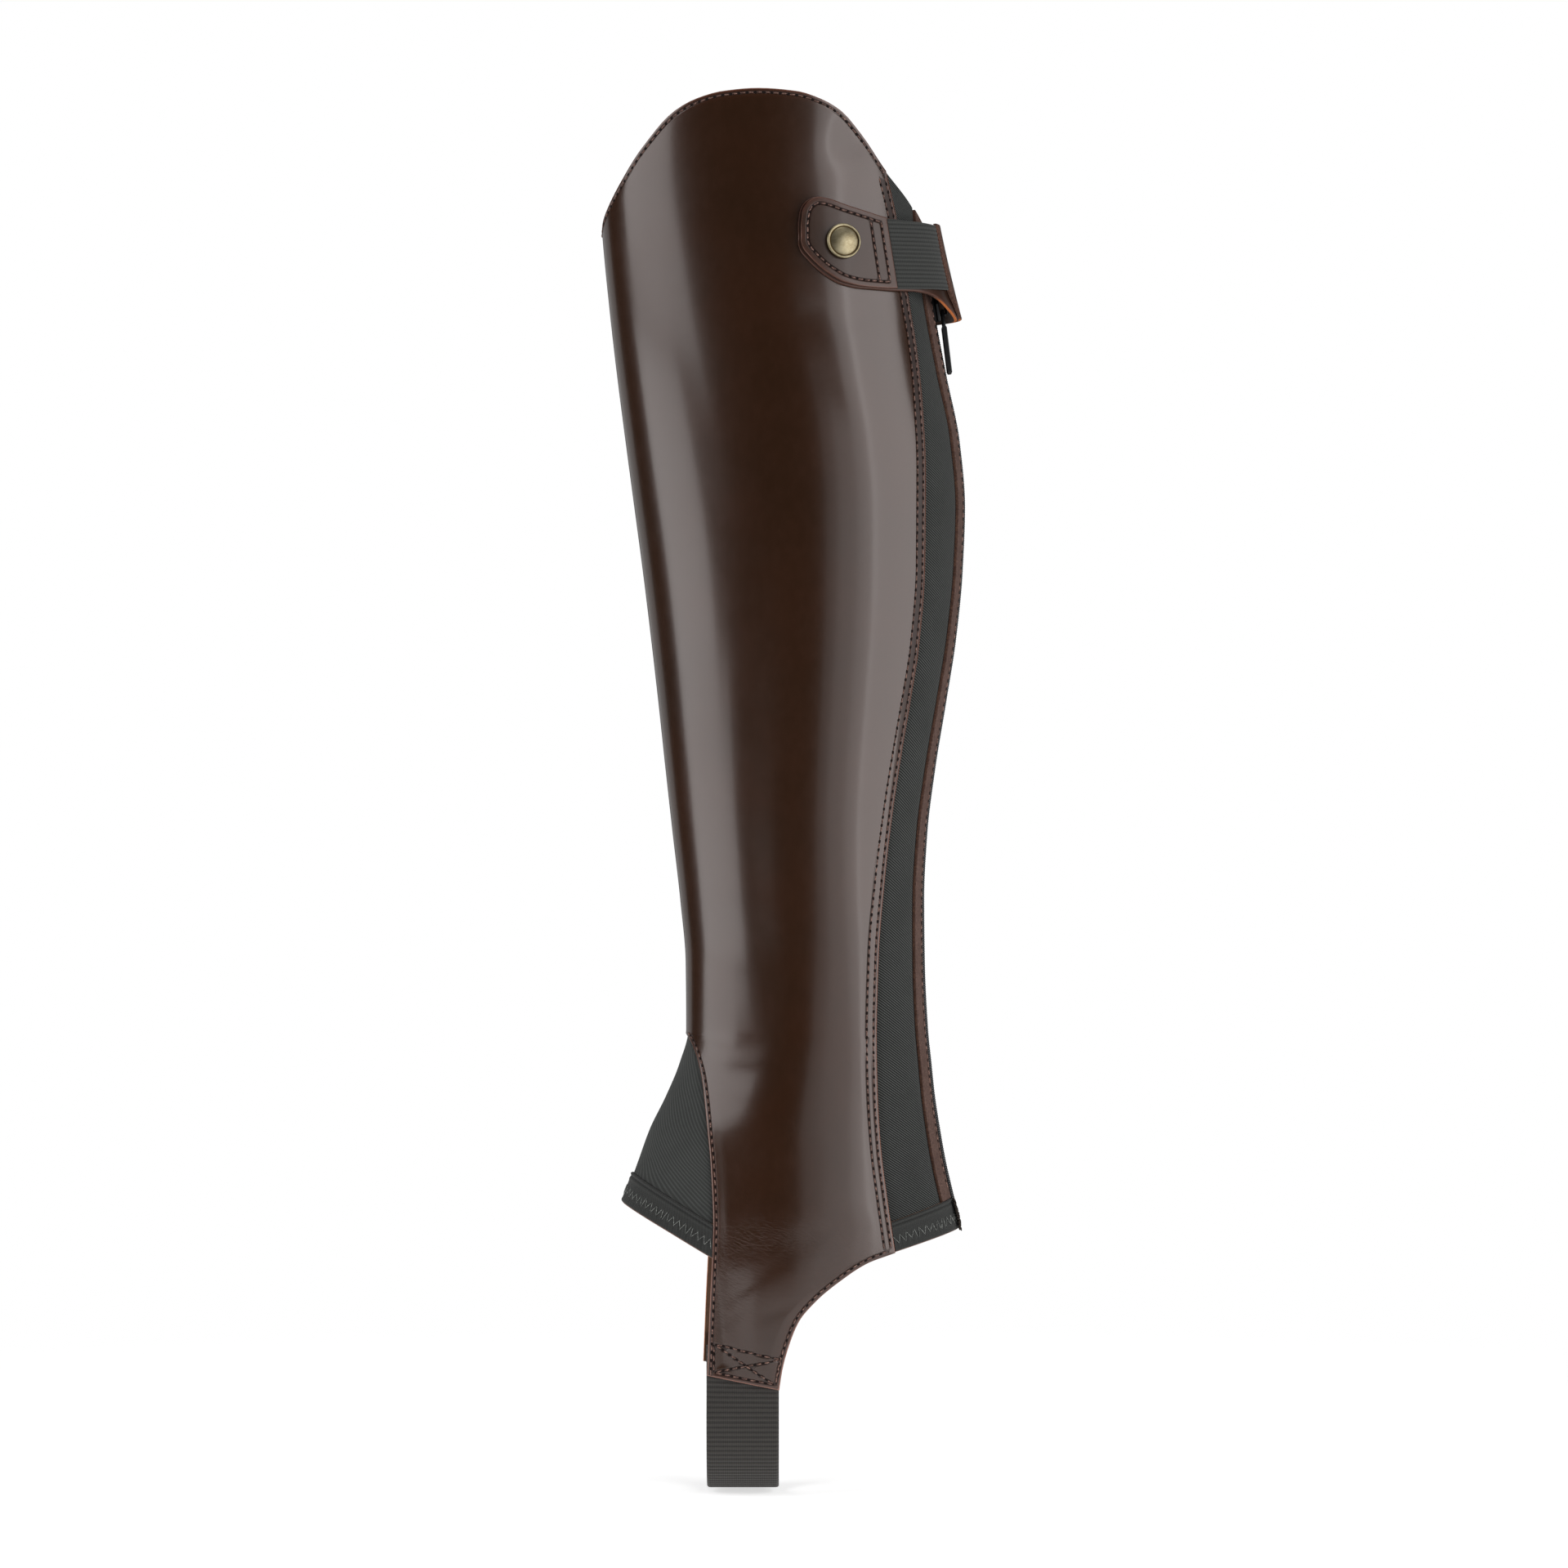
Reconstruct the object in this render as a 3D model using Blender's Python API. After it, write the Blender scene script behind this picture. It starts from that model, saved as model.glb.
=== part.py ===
"""A half chap for the left lower leg: leather, with a stretch panel, a back zip and a strap under the boot.

Sizes are in millimetres and become metres as each mesh is made. +Z is up and the shin faces -X. The outer
side of the leg faces -Y, the zip faces +X, and the origin is at the middle of the calf. Every cloth wall
lies on one form: a stack of rounded sections, read by the angle round the leg. The angle is 0 at the shin,
90 degrees on the outer side, 180 at the zip and 270 on the inner side.
"""

import math
from bisect import bisect_right

import bmesh
import bpy
from mathutils import Vector

MM = 0.001

# A small turn round the form, in radians, and the rounds in which an angle and a height settle on each other
NUDGE = 0.005
SETTLE = 12

# Walls, seams and layers
LEATHER = 2.0
FACING = 1.8
ELASTIC = 1.3
ELASTIC_SUNK = 0.8
TAPE = 1.0
TAPE_SUNK = 1.2
BINDING = 2.3
BINDING_PROUD = 0.3
SEAM_GAP = 0.3

# The form that the walls lie on. The widest line sits a little behind the middle of each section.
EGG = 0.12
SECTIONS = (
    # z, shin x, back x, half width
    (-420, -83.5, 70.5, 32.5),
    (-380, -83.5, 70.5, 33.5),
    (-350, -83.0, 70.0, 35.5),
    (-320, -80.8, 69.2, 37.3),
    (-306, -76.6, 68.4, 37.6),
    (-292, -71.6, 65.0, 37.5),
    (-279, -66.9, 62.0, 37.2),
    (-265, -61.8, 59.5, 36.9),
    (-252, -55.4, 57.5, 36.6),
    (-238, -49.6, 56.0, 36.4),
    (-224, -46.0, 54.6, 36.4),
    (-197, -46.2, 53.3, 37.2),
    (-170, -48.5, 53.0, 39.0),
    (-143, -51.6, 54.3, 41.5),
    (-116, -54.6, 57.6, 44.2),
    (-88, -57.6, 62.2, 47.0),
    (-61, -60.7, 66.4, 49.5),
    (-34, -64.0, 69.0, 51.2),
    (-7, -67.6, 70.0, 52.0),
    (20, -71.2, 67.8, 51.8),
    (48, -74.8, 62.2, 50.6),
    (75, -77.9, 57.3, 48.8),
    (107, -81.0, 53.4, 46.6),
    (136, -83.0, 51.0, 44.6),
    (170, -84.5, 48.6, 42.6),
)

# Seams, as they look from the side
FRONT_SEAM_DEGREES = -3.5
GUSSET_TOP = -226.0
GUSSET_POINT = 0.6
GUSSET_SEAM = (
    # z, x
    (-372, -37.4),
    (-337, -36.0),
    (-316, -35.0),
    (-303, -34.6),
    (-280, -35.6),
    (-261, -37.4),
    (-244, -39.4),
    (-235, -41.6),
    (-230, -43.6),
    (-226, -46.1),
)
STRETCH_SEAM = (
    # z, x
    (-315, 40.8),
    (-293, 37.5),
    (-271, 34.8),
    (-249, 33.5),
    (-227, 33.1),
    (-194, 33.9),
    (-160, 36.6),
    (-133, 39.8),
    (-110, 43.3),
    (-88, 47.0),
    (-66, 50.4),
    (-33, 52.9),
    (6, 53.2),
    (34, 51.9),
    (56, 49.7),
    (76, 46.5),
    (111, 41.2),
    (130, 36.9),
)
HEEL_CURVE = (
    # z, x
    (-372, -7.2),
    (-363, -5.8),
    (-354, -3.4),
    (-343, 1.0),
    (-334, 8.6),
    (-326, 18.4),
    (-319, 29.4),
    (-315, 40.8),
)

# The inner tongue stands forward of the outer one, from this height down over this length.
INNER_TONGUE_FORWARD = 2.4
INNER_SHIFT_START = -285.0
INNER_SHIFT_LENGTH = 30.0

# Height of the top edge round the leg
TOP_EDGE = (
    # degrees, z
    (-20, 106),
    (0, 107.5),
    (9, 111.6),
    (18, 116.4),
    (30, 125.4),
    (45, 140.0),
    (60, 154.0),
    (69, 158.8),
    (79, 161.6),
    (91, 162.6),
    (105, 161.4),
    (114, 158.4),
    (122, 153.6),
    (130, 144.6),
    (141, 130.4),
    (154, 120.2),
    (169, 111.4),
    (180, 108.6),
    (195, 107.0),
    (230, 101.0),
    (270, 97.0),
    (315, 100.0),
    (345, 106.5),
    (380, 112.0),
)

# The two bindings at the foot are cut on sloping planes, and the tongue ends on another.
FRONT_HEM_TOP = -283.6
FRONT_HEM_AT = -67.9
FRONT_HEM_FALL = 0.59
FRONT_HEM_HEIGHT = 12.6
HEEL_HEM_TOP = -295.2
HEEL_HEM_AT = 60.1
HEEL_HEM_RISE = 0.33
HEEL_HEM_HEIGHT = 13.0
TONGUE_END = -365.6
TONGUE_AT = -37.3
TONGUE_FALL = 0.19

# The zip, measured round the leg from its middle
ZIP_EDGE = 8.0
FACING_EDGE = 17.0
CHAIN_HALF = 3.0
CHAIN_SUNK = 2.6
CHAIN_PROUD = 0.3
CHAIN_CLEAR = 1.2
ZIP_FOOT = -304.0
ZIP_HEAD = 106.0
SLIDER_AT = 77.0
SLIDER_HALF_LENGTH = 7.0
SLIDER_HALF_TOP = 4.6
SLIDER_HALF_FOOT = 3.7
SLIDER_POST_HALF = 2.7
SLIDER_PLATES = (-4.4, -2.9, 0.6, 2.0)
SEAT_HALF = 6.0
BRIDGE_CLEAR = 2.2
BRIDGE_WALL = 0.9
BRIDGE_HALF = 0.9
BRIDGE_FOOT = -5.4
BRIDGE_HEAD = 2.6
BRIDGE_LEG = 1.2
BRIDGE_ROOT = 0.3
BRIDGE_SHOULDER = 0.6
BRIDGE_CORNER = 0.4
HINGE_UP = -3.0
PULL_LENGTH = 26.4
PULL_BAR = 1.4
PULL_THICK = 2.2
PULL_HALF_TOP = 3.6
PULL_HALF_FOOT = 2.9
PULL_WINDOW_HALF = 1.6
PULL_WINDOW_END = 5.2
PULL_STEP = 6.2
PULL_EASE = 0.4
PULL_LEAN_DEGREES = 6.9

# The fastening strap: an inner leather layer all the way, and on it the tab, the elastic and the back layer
STRAP_LAYER = 1.5
STRAP_ELASTIC = 1.3
STRAP_FOOT = 69.0
STRAP_MIDDLE = 95.0
STRAP_HEAD = 109.0
TAB_SLANT = 0.152
TAB_FOOT = 80.6
TAB_END = 39.2
TAB = (
    # x, lower z, upper z
    (1.4, 99.0, 106.5),
    (2.2, 96.4, 112.0),
    (4.4, 93.4, 115.4),
    (8.2, 89.4, 117.3),
    (12.0, 86.2, 116.7),
    (18.7, 82.4, 114.4),
    (27.0, 80.7, 111.9),
    (35.0, 80.4, 109.7),
    (40.0, 80.6, 109.0),
)
BACKING_EDGE = 0.9
BACKING = (
    # mm round from the zip, lower z, upper z
    (-52, 72.0, 104.0),
    (-48, 70.0, 106.0),
    (-20, 69.4, 108.0),
    (-3, 69.2, 109.0),
    (3, 69.6, 109.2),
    (12, 72.4, 109.0),
    (18, 76.4, 109.0),
    (25, 79.2, 109.2),
    (34, 80.0, 109.5),
    (44, 79.8, 110.6),
)
BACK_LAYER_END = (
    # z, mm round from the zip
    (69.2, 2.0),
    (74.0, 8.0),
    (81.0, 12.5),
    (92.0, 12.5),
    (109.5, 11.0),
)
BACK_LAYER_START = -56.0
BACKING_JOIN = 42.0
ELASTIC_FOOT = (80.6, 81.0)
ELASTIC_HEAD = (109.4, 108.4)
BULGE_FOOT = 7.2
BULGE_HEAD = 3.0
BULGE_FULL = 9.0
BULGE_NONE = 44.0

# The press stud's cap
CAP_AT_DEGREES = 117.2
CAP_Z = 99.0
CAP_RADIUS = 7.2
CAP_RIM = 1.4
CAP_CROWN = 2.5
CAP_EASE = 0.5
CAP_BORDER = 1.1
CAP_GROOVE = 0.2
CAP_CLEAR = 0.35

# The elastic under the boot
STIRRUP_WIDTH = 29.8
STIRRUP_MIDDLE = -22.3
STIRRUP_TOP = -353.0
STIRRUP_FOOT = -414.8
STIRRUP_RADIUS = 31.0
STIRRUP_THICK = 1.5
STIRRUP_SPREAD = 0.45

# Colour, roughness and metallic value of each finish
FINISHES = {
    "brown_leather": ((0.055, 0.026, 0.018), 0.32, 0.0),
    "black_stretch": ((0.022, 0.024, 0.022), 0.85, 0.0),
    "black_webbing": ((0.030, 0.030, 0.027), 0.80, 0.0),
    "black_binding": ((0.020, 0.021, 0.020), 0.85, 0.0),
    "black_tape": ((0.015, 0.015, 0.015), 0.90, 0.0),
    "black_metal": ((0.020, 0.020, 0.022), 0.38, 0.9),
    "aged_brass": ((0.55, 0.46, 0.24), 0.35, 1.0),
}


def clear_scene():
    for old in list(bpy.data.objects):
        bpy.data.objects.remove(old, do_unlink=True)


def smooth(table, column=1):
    """A smooth function of the table's first column that never swings past its rows."""
    places = [row[0] for row in table]
    values = [row[column] for row in table]
    steps = [
        (values[i + 1] - values[i]) / (places[i + 1] - places[i])
        for i in range(len(places) - 1)
    ]
    slopes = [steps[0]]
    for before, after in zip(steps, steps[1:]):
        together = before * after
        slopes.append(2 * together / (before + after) if together > 0 else 0.0)
    slopes.append(steps[-1])

    def value(at):
        at = min(max(at, places[0]), places[-1])
        i = min(bisect_right(places, at) - 1, len(places) - 2)
        width = places[i + 1] - places[i]
        t = (at - places[i]) / width
        return (
            (1 + 2 * t) * (1 - t) ** 2 * values[i]
            + t * (1 - t) ** 2 * width * slopes[i]
            + t * t * (3 - 2 * t) * values[i + 1]
            + t * t * (t - 1) * width * slopes[i + 1]
        )

    return value


shin_x = smooth(SECTIONS, 1)
back_x = smooth(SECTIONS, 2)
half_width = smooth(SECTIONS, 3)
gusset_x = smooth(GUSSET_SEAM)
stretch_x = smooth(STRETCH_SEAM)
heel_x = smooth(HEEL_CURVE)
top_z = smooth(TOP_EDGE)
tab_lower = smooth(TAB, 1)
tab_upper = smooth(TAB, 2)
backing_lower = smooth(BACKING, 1)
backing_upper = smooth(BACKING, 2)
back_layer_end = smooth(BACK_LAYER_END)


def form(angle, z):
    """The point of the leather's outer face at this angle and height."""
    shin = shin_x(z)
    reach = (back_x(z) - shin) / 2
    turn = math.cos(angle)
    side = -half_width(z) * math.sin(angle) * (1 - EGG * turn)
    return Vector((shin + reach * (1 - turn), side, z))


def outward(angle, z):
    along = form(angle + 2 * NUDGE, z) - form(angle - 2 * NUDGE, z)
    up = form(angle, z + 1) - form(angle, z - 1)
    return along.cross(up).normalized()


def off_form(angle, z, proud):
    return form(angle, z) + outward(angle, z) * proud


def side_angle(x, z):
    """The angle on the outer side at which the form has this x."""
    shin = shin_x(z)
    reach = (back_x(z) - shin) / 2
    return math.acos(min(max(1 - (x - shin) / reach, -1.0), 1.0))


def moved(angle, z, distance, steps=6):
    """The angle that lies this many millimetres further round the leg."""
    for _ in range(steps):
        ahead = form(angle + NUDGE, z) - form(angle - NUDGE, z)
        angle += distance / steps * 2 * NUDGE / ahead.length
    return angle


def round_from_zip(distance, z):
    """The angle this far from the zip's middle, towards the outer side."""
    return moved(math.pi, z, -distance)


def front_hem(x):
    return FRONT_HEM_TOP - FRONT_HEM_FALL * (x - FRONT_HEM_AT)


def heel_hem(x):
    return HEEL_HEM_TOP + HEEL_HEM_RISE * (x - HEEL_HEM_AT)


def tongue_end(x):
    return TONGUE_END - TONGUE_FALL * (x - TONGUE_AT)


def meets(angle, line, z):
    """The height at which the form, at this angle, crosses a line that is given from the side."""
    for _ in range(SETTLE):
        z = line(form(angle, z).x)
    return z


def spaced(start, end, *spans):
    """Heights from start to end. Each of spans is a height and the step that is used below it."""
    heights = [start]
    while heights[-1] < end:
        step = next(step for limit, step in spans if heights[-1] < limit)
        heights.append(min(heights[-1] + step, end))
    return heights


def finish(name):
    material = bpy.data.materials.get(name)
    if material is None:
        colour, roughness, metallic = FINISHES[name]
        material = bpy.data.materials.new(name)
        material.use_nodes = True
        shader = material.node_tree.nodes["Principled BSDF"]
        shader.inputs["Base Color"].default_value = (*colour, 1.0)
        shader.inputs["Roughness"].default_value = roughness
        shader.inputs["Metallic"].default_value = metallic
        material.diffuse_color = (*colour, 1.0)
    return material


def make_object(name, bm, finish_name, sharp_degrees=40):
    bmesh.ops.recalc_face_normals(bm, faces=bm.faces[:])
    mesh = bpy.data.meshes.new(name)
    bm.to_mesh(mesh)
    bm.free()
    mesh.shade_smooth()
    mesh.set_sharp_from_angle(angle=math.radians(sharp_degrees))
    mesh.materials.append(finish(finish_name))
    obj = bpy.data.objects.new(name, mesh)
    bpy.context.scene.collection.objects.link(obj)
    return obj


def wall(name, place, across, up, finish_name):
    """A closed cloth wall. place(i, j, face) gives a point in mm, and face is 0 outside and 1 inside."""
    bm = bmesh.new()
    grid = [
        [[bm.verts.new(place(i, j, face) * MM) for i in range(across + 1)] for j in range(up + 1)]
        for face in (0, 1)
    ]
    outer, inner = grid
    for j in range(up):
        for i in range(across):
            for layer in grid:
                bm.faces.new((layer[j][i], layer[j][i + 1], layer[j + 1][i + 1], layer[j + 1][i]))
    for i in range(across):
        for j in (0, up):
            bm.faces.new((outer[j][i], outer[j][i + 1], inner[j][i + 1], inner[j][i]))
    for j in range(up):
        for i in (0, across):
            bm.faces.new((outer[j][i], outer[j + 1][i], inner[j + 1][i], inner[j][i]))
    return make_object(name, bm, finish_name)


def banded(name, start, end, foot, head, heights, across, layers, finish_name, ease=4):
    """A wall between two seams.

    start and end give its angles at a height, and foot and head its height at an angle. Rows lie level at the
    given heights. Beyond these, more rows close in on the head and the foot: ease of them each.
    """
    proud, thickness = layers
    rows = [("foot", k / ease) for k in range(ease)]
    rows += [("level", z) for z in heights]
    rows += [("head", (k + 1) / ease) for k in range(ease)]

    def place(i, j, face):
        kind, at = rows[j]
        u = i / across
        z = {"foot": heights[0], "level": at, "head": heights[-1]}[kind]
        for _ in range(1 if kind == "level" else SETTLE):
            first = moved(start(z), z, SEAM_GAP / 2, 1)
            last = moved(end(z), z, -SEAM_GAP / 2, 1)
            angle = first + (last - first) * u
            if kind == "foot":
                lowest = foot(angle)
                z = lowest + (heights[0] - lowest) * at
            elif kind == "head":
                z = heights[-1] + (head(angle) - heights[-1]) * at
        return off_form(angle, z, proud - thickness * face)

    return wall(name, place, across, len(rows) - 1, finish_name)


def front_of_outer(z):
    """The front edge of the outer panel: the shin seam, then the gusset seam, then the tongue's edge."""
    return side_angle(gusset_x(z), z) if z < GUSSET_TOP else math.radians(FRONT_SEAM_DEGREES)


def front_of_inner(z):
    """The same line on the inner side, where the tongue stands a little further forward."""
    if z >= GUSSET_TOP:
        return 2 * math.pi + math.radians(FRONT_SEAM_DEGREES)
    shifted = min(max((INNER_SHIFT_START - z) / INNER_SHIFT_LENGTH, 0), 1)
    x = gusset_x(z) - INNER_TONGUE_FORWARD * shifted
    return 2 * math.pi - max(side_angle(x, z), -math.radians(FRONT_SEAM_DEGREES))


def inner_gusset_angle(z):
    return front_of_inner(z) - 2 * math.pi


def back_of_outer(z):
    return side_angle(stretch_x(z) if z > STRETCH_SEAM[0][0] else heel_x(z), z)


def zip_side_of_inner(z):
    """The back edge of the inner panel: along the zip, then under the heel and down the tongue."""
    by_zip = 2 * math.pi - round_from_zip(ZIP_EDGE, z)
    hem_x = HEEL_HEM_AT + (z + HEEL_HEM_HEIGHT - HEEL_HEM_TOP) / HEEL_HEM_RISE
    x = hem_x if z > STRETCH_SEAM[0][0] else heel_x(z) - INNER_TONGUE_FORWARD
    return max(by_zip, 2 * math.pi - side_angle(min(x, back_x(z)), z))


def facing_seam(z):
    return round_from_zip(FACING_EDGE, z)


def zip_edge(z):
    return round_from_zip(ZIP_EDGE, z)


def head_at(angle):
    return top_z(math.degrees(angle))


def heel_hem_top(angle):
    return meets(angle, heel_hem, HEEL_HEM_TOP)


def front_hem_top(angle):
    return meets(angle, front_hem, FRONT_HEM_TOP)


def tongue_foot(angle):
    return meets(angle, tongue_end, TONGUE_END)


def panel_rows(step):
    """Level rows of the leather panels, close together at the tongue, the heel curve and the gusset's top."""
    low = spaced(-358, -216, (-344, 8), (-329, 4.5), (-306, 2.7), (-250, 11), (-238, 6), (-216, 3))
    return low + spaced(-216, 96, (96, step))[1:]


def make_leather_panels():
    layers = (0.0, LEATHER)
    banded(
        "outer_panel", front_of_outer, back_of_outer, tongue_foot, head_at, panel_rows(19.5), 20, layers,
        "brown_leather",
    )
    banded(
        "inner_panel", zip_side_of_inner, front_of_inner, tongue_foot, head_at, panel_rows(26), 14, layers,
        "brown_leather", ease=2,
    )


def make_back_strips():
    heights = [z for z in panel_rows(19.5) if z > -288]
    banded(
        "stretch_panel", back_of_outer, facing_seam, heel_hem_top, head_at, heights, 4,
        (-ELASTIC_SUNK, ELASTIC), "black_stretch",
    )
    banded(
        "zip_facing", facing_seam, zip_edge, heel_hem_top, head_at, heights, 2, (0.0, FACING),
        "brown_leather",
    )


def hem(name, start, end, top, level, height, across, up=3):
    """A binding round an edge at the foot, of one height all along."""

    def place(i, j, face):
        z = level
        for _ in range(SETTLE):
            first = moved(start(z), z, SEAM_GAP / 2, 1)
            angle = first + (end(z) - first) * i / across
            z = top(angle) - height + (height - SEAM_GAP) * j / up
        return off_form(angle, z, BINDING_PROUD - BINDING * face)

    wall(name, place, across, up, "black_binding")


def make_foot_strips():
    heights = [z for z in panel_rows(19.5) if -284 < z < GUSSET_TOP - 4]

    def gusset_head(angle):
        return heights[-1] + GUSSET_POINT

    def hem_end(z):
        return moved(front_of_outer(z), z, -SEAM_GAP / 2, 1)

    banded(
        "ankle_gusset", inner_gusset_angle, front_of_outer, front_hem_top, gusset_head, heights, 12,
        (-ELASTIC_SUNK, ELASTIC), "black_stretch", ease=2,
    )
    hem(
        "gusset_hem", inner_gusset_angle, hem_end, front_hem_top, FRONT_HEM_TOP, FRONT_HEM_HEIGHT, 14
    )
    hem("heel_hem", back_of_outer, zip_edge, heel_hem_top, HEEL_HEM_TOP, HEEL_HEM_HEIGHT, 6)


def make_zip_line():
    """The two tapes, and the closed chain between them up to the slider."""
    steps = 30
    for name, near, far in (
        ("zip_tape_outer", ZIP_EDGE - SEAM_GAP, CHAIN_HALF + SEAM_GAP),
        ("zip_tape_inner", -CHAIN_HALF - SEAM_GAP, -ZIP_EDGE + SEAM_GAP),
    ):
        def place(i, j, face, near=near, far=far):
            z = ZIP_FOOT + (ZIP_HEAD - ZIP_FOOT) * j / steps
            angle = round_from_zip(near + (far - near) * i, z)
            return off_form(angle, z, -TAPE_SUNK - TAPE * face)

        wall(name, place, 1, steps, "black_tape")

    chain_head = SLIDER_AT - SLIDER_HALF_LENGTH - CHAIN_CLEAR

    def chain(i, j, face):
        z = ZIP_FOOT + (chain_head - ZIP_FOOT) * j / steps
        angle = round_from_zip(CHAIN_HALF - CHAIN_HALF * i, z)
        return off_form(angle, z, CHAIN_PROUD - (CHAIN_PROUD + CHAIN_SUNK) * face)

    wall("zip_chain", chain, 2, steps, "black_metal")


def loft(rings):
    """A closed body through rings of equally many points, each ring a list of points in mm."""
    bm = bmesh.new()
    made = [[bm.verts.new(Vector(point) * MM) for point in ring] for ring in rings]
    count = len(made[0])
    for low, high in zip(made, made[1:]):
        for k in range(count):
            following = (k + 1) % count
            bm.faces.new((low[k], low[following], high[following], high[k]))
    bm.faces.new(made[0])
    bm.faces.new(made[-1])
    return bm


def block(name, low, high, finish_name):
    (x0, y0, z0), (x1, y1, z1) = low, high
    rings = [[(x0, y0, z), (x1, y0, z), (x1, y1, z), (x0, y1, z)] for z in (z0, z1)]
    return make_object(name, loft(rings), finish_name)


def combine(target, helper, operation):
    """Joins or cuts target with a helper object that stays out of the model."""
    helper.hide_render = True
    helper.display_type = "WIRE"
    modifier = target.modifiers.new(helper.name, "BOOLEAN")
    modifier.operation = operation
    modifier.object = helper


def slider_seat():
    """Where the slider sits on the form, and how far the form leans there."""
    here = form(math.pi, SLIDER_AT)
    run = back_x(SLIDER_AT + SEAT_HALF) - back_x(SLIDER_AT - SEAT_HALF)
    return here, math.atan2(run, 2 * SEAT_HALF)


def make_slider():
    inner_face, inner_gap, outer_gap, outer_face = SLIDER_PLATES
    rings = []
    post = SLIDER_POST_HALF
    end = SLIDER_HALF_LENGTH
    for z, half in ((-end, SLIDER_HALF_FOOT), (0, SLIDER_HALF_TOP), (end, SLIDER_HALF_TOP)):
        right = [
            (inner_face, half), (inner_gap, half), (inner_gap, post),
            (outer_gap, post), (outer_gap, half), (outer_face, half),
        ]
        left = [(x, -y) for x, y in reversed(right)]
        rings.append([(x, y, z) for x, y in right + left])
    slider = make_object("zip_slider", loft(rings), "black_metal")
    top = outer_face + BRIDGE_CLEAR
    over = top + BRIDGE_WALL
    root = outer_face - BRIDGE_ROOT
    foot = BRIDGE_FOOT + BRIDGE_LEG
    head = BRIDGE_HEAD - BRIDGE_LEG
    arch = [
        (root, BRIDGE_FOOT), (top - BRIDGE_SHOULDER, BRIDGE_FOOT), (over, foot),
        (over, head), (top - BRIDGE_SHOULDER, BRIDGE_HEAD), (root, BRIDGE_HEAD),
        (root, head), (top - BRIDGE_CORNER, head), (top, head - BRIDGE_CORNER),
        (top, foot + BRIDGE_CORNER), (top - BRIDGE_CORNER, foot), (root, foot),
    ]
    bridge_rings = [[(x, y, z) for x, z in arch] for y in (-BRIDGE_HALF, BRIDGE_HALF)]
    bridge = make_object("slider_bridge", loft(bridge_rings), "black_metal")
    combine(slider, bridge, "UNION")
    seat, lean = slider_seat()
    for obj in (slider, bridge):
        obj.location = seat * MM
        obj.rotation_euler = (0, lean, 0)


def hinge_point():
    """The middle of the pull's bar, under the slider's bridge."""
    seat, lean = slider_seat()
    out = SLIDER_PLATES[3] + BRIDGE_CLEAR / 2
    return seat + Vector((
        out * math.cos(lean) + HINGE_UP * math.sin(lean),
        0,
        HINGE_UP * math.cos(lean) - out * math.sin(lean),
    ))


def make_pull():
    """The pull tab hangs from its bar, which is at the object's origin."""
    bar = PULL_BAR / 2
    thick = PULL_THICK / 2
    ease = PULL_EASE
    side = (
        # height, half thickness, half width
        (-PULL_LENGTH, thick - ease, PULL_HALF_FOOT - 2 * ease),
        (-PULL_LENGTH + 2 * ease, thick, PULL_HALF_FOOT),
        (-PULL_STEP - 2 * ease, thick, PULL_HALF_TOP),
        (-PULL_STEP, bar, PULL_HALF_TOP),
        (bar - ease, bar, PULL_HALF_TOP),
        (bar, bar - ease, PULL_HALF_TOP - ease),
    )
    rings = [[(-t, -w, z), (t, -w, z), (t, w, z), (-t, w, z)] for z, t, w in side]
    pull = make_object("zip_pull", loft(rings), "black_metal")
    half = PULL_WINDOW_HALF
    through = PULL_THICK
    window = block("pull_window", (-through, -half, -PULL_WINDOW_END), (through, half, -bar), "black_metal")
    combine(pull, window, "DIFFERENCE")
    for obj in (pull, window):
        obj.location = hinge_point() * MM
        obj.rotation_euler = (0, -math.radians(PULL_LEAN_DEGREES), 0)


def bulge(distance, z):
    """How far the strap stands off the leg: it bridges the back, more so at its lower edge."""
    up = min(max((z - STRAP_FOOT) / (STRAP_HEAD - STRAP_FOOT), 0), 1)
    at_back = BULGE_FOOT + (BULGE_HEAD - BULGE_FOOT) * up
    t = min(max((BULGE_NONE - abs(distance)) / (BULGE_NONE - BULGE_FULL), 0), 1)
    return at_back * t * t * (3 - 2 * t)


def distance_from_zip(angle, z):
    """Millimetres round the leg from the zip's middle, towards the outer side."""
    steps = 8
    total = 0.0
    for k in range(steps):
        here = math.pi + (angle - math.pi) * k / steps
        there = math.pi + (angle - math.pi) * (k + 1) / steps
        total += (form(there, z) - form(here, z)).length
    return total if angle < math.pi else -total


def on_strap(angle, z, lift):
    return off_form(angle, z, SEAM_GAP + bulge(distance_from_zip(angle, z), z) + lift)


def tab_limit(z):
    return TAB_END - TAB_SLANT * (z - TAB_FOOT)


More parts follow.
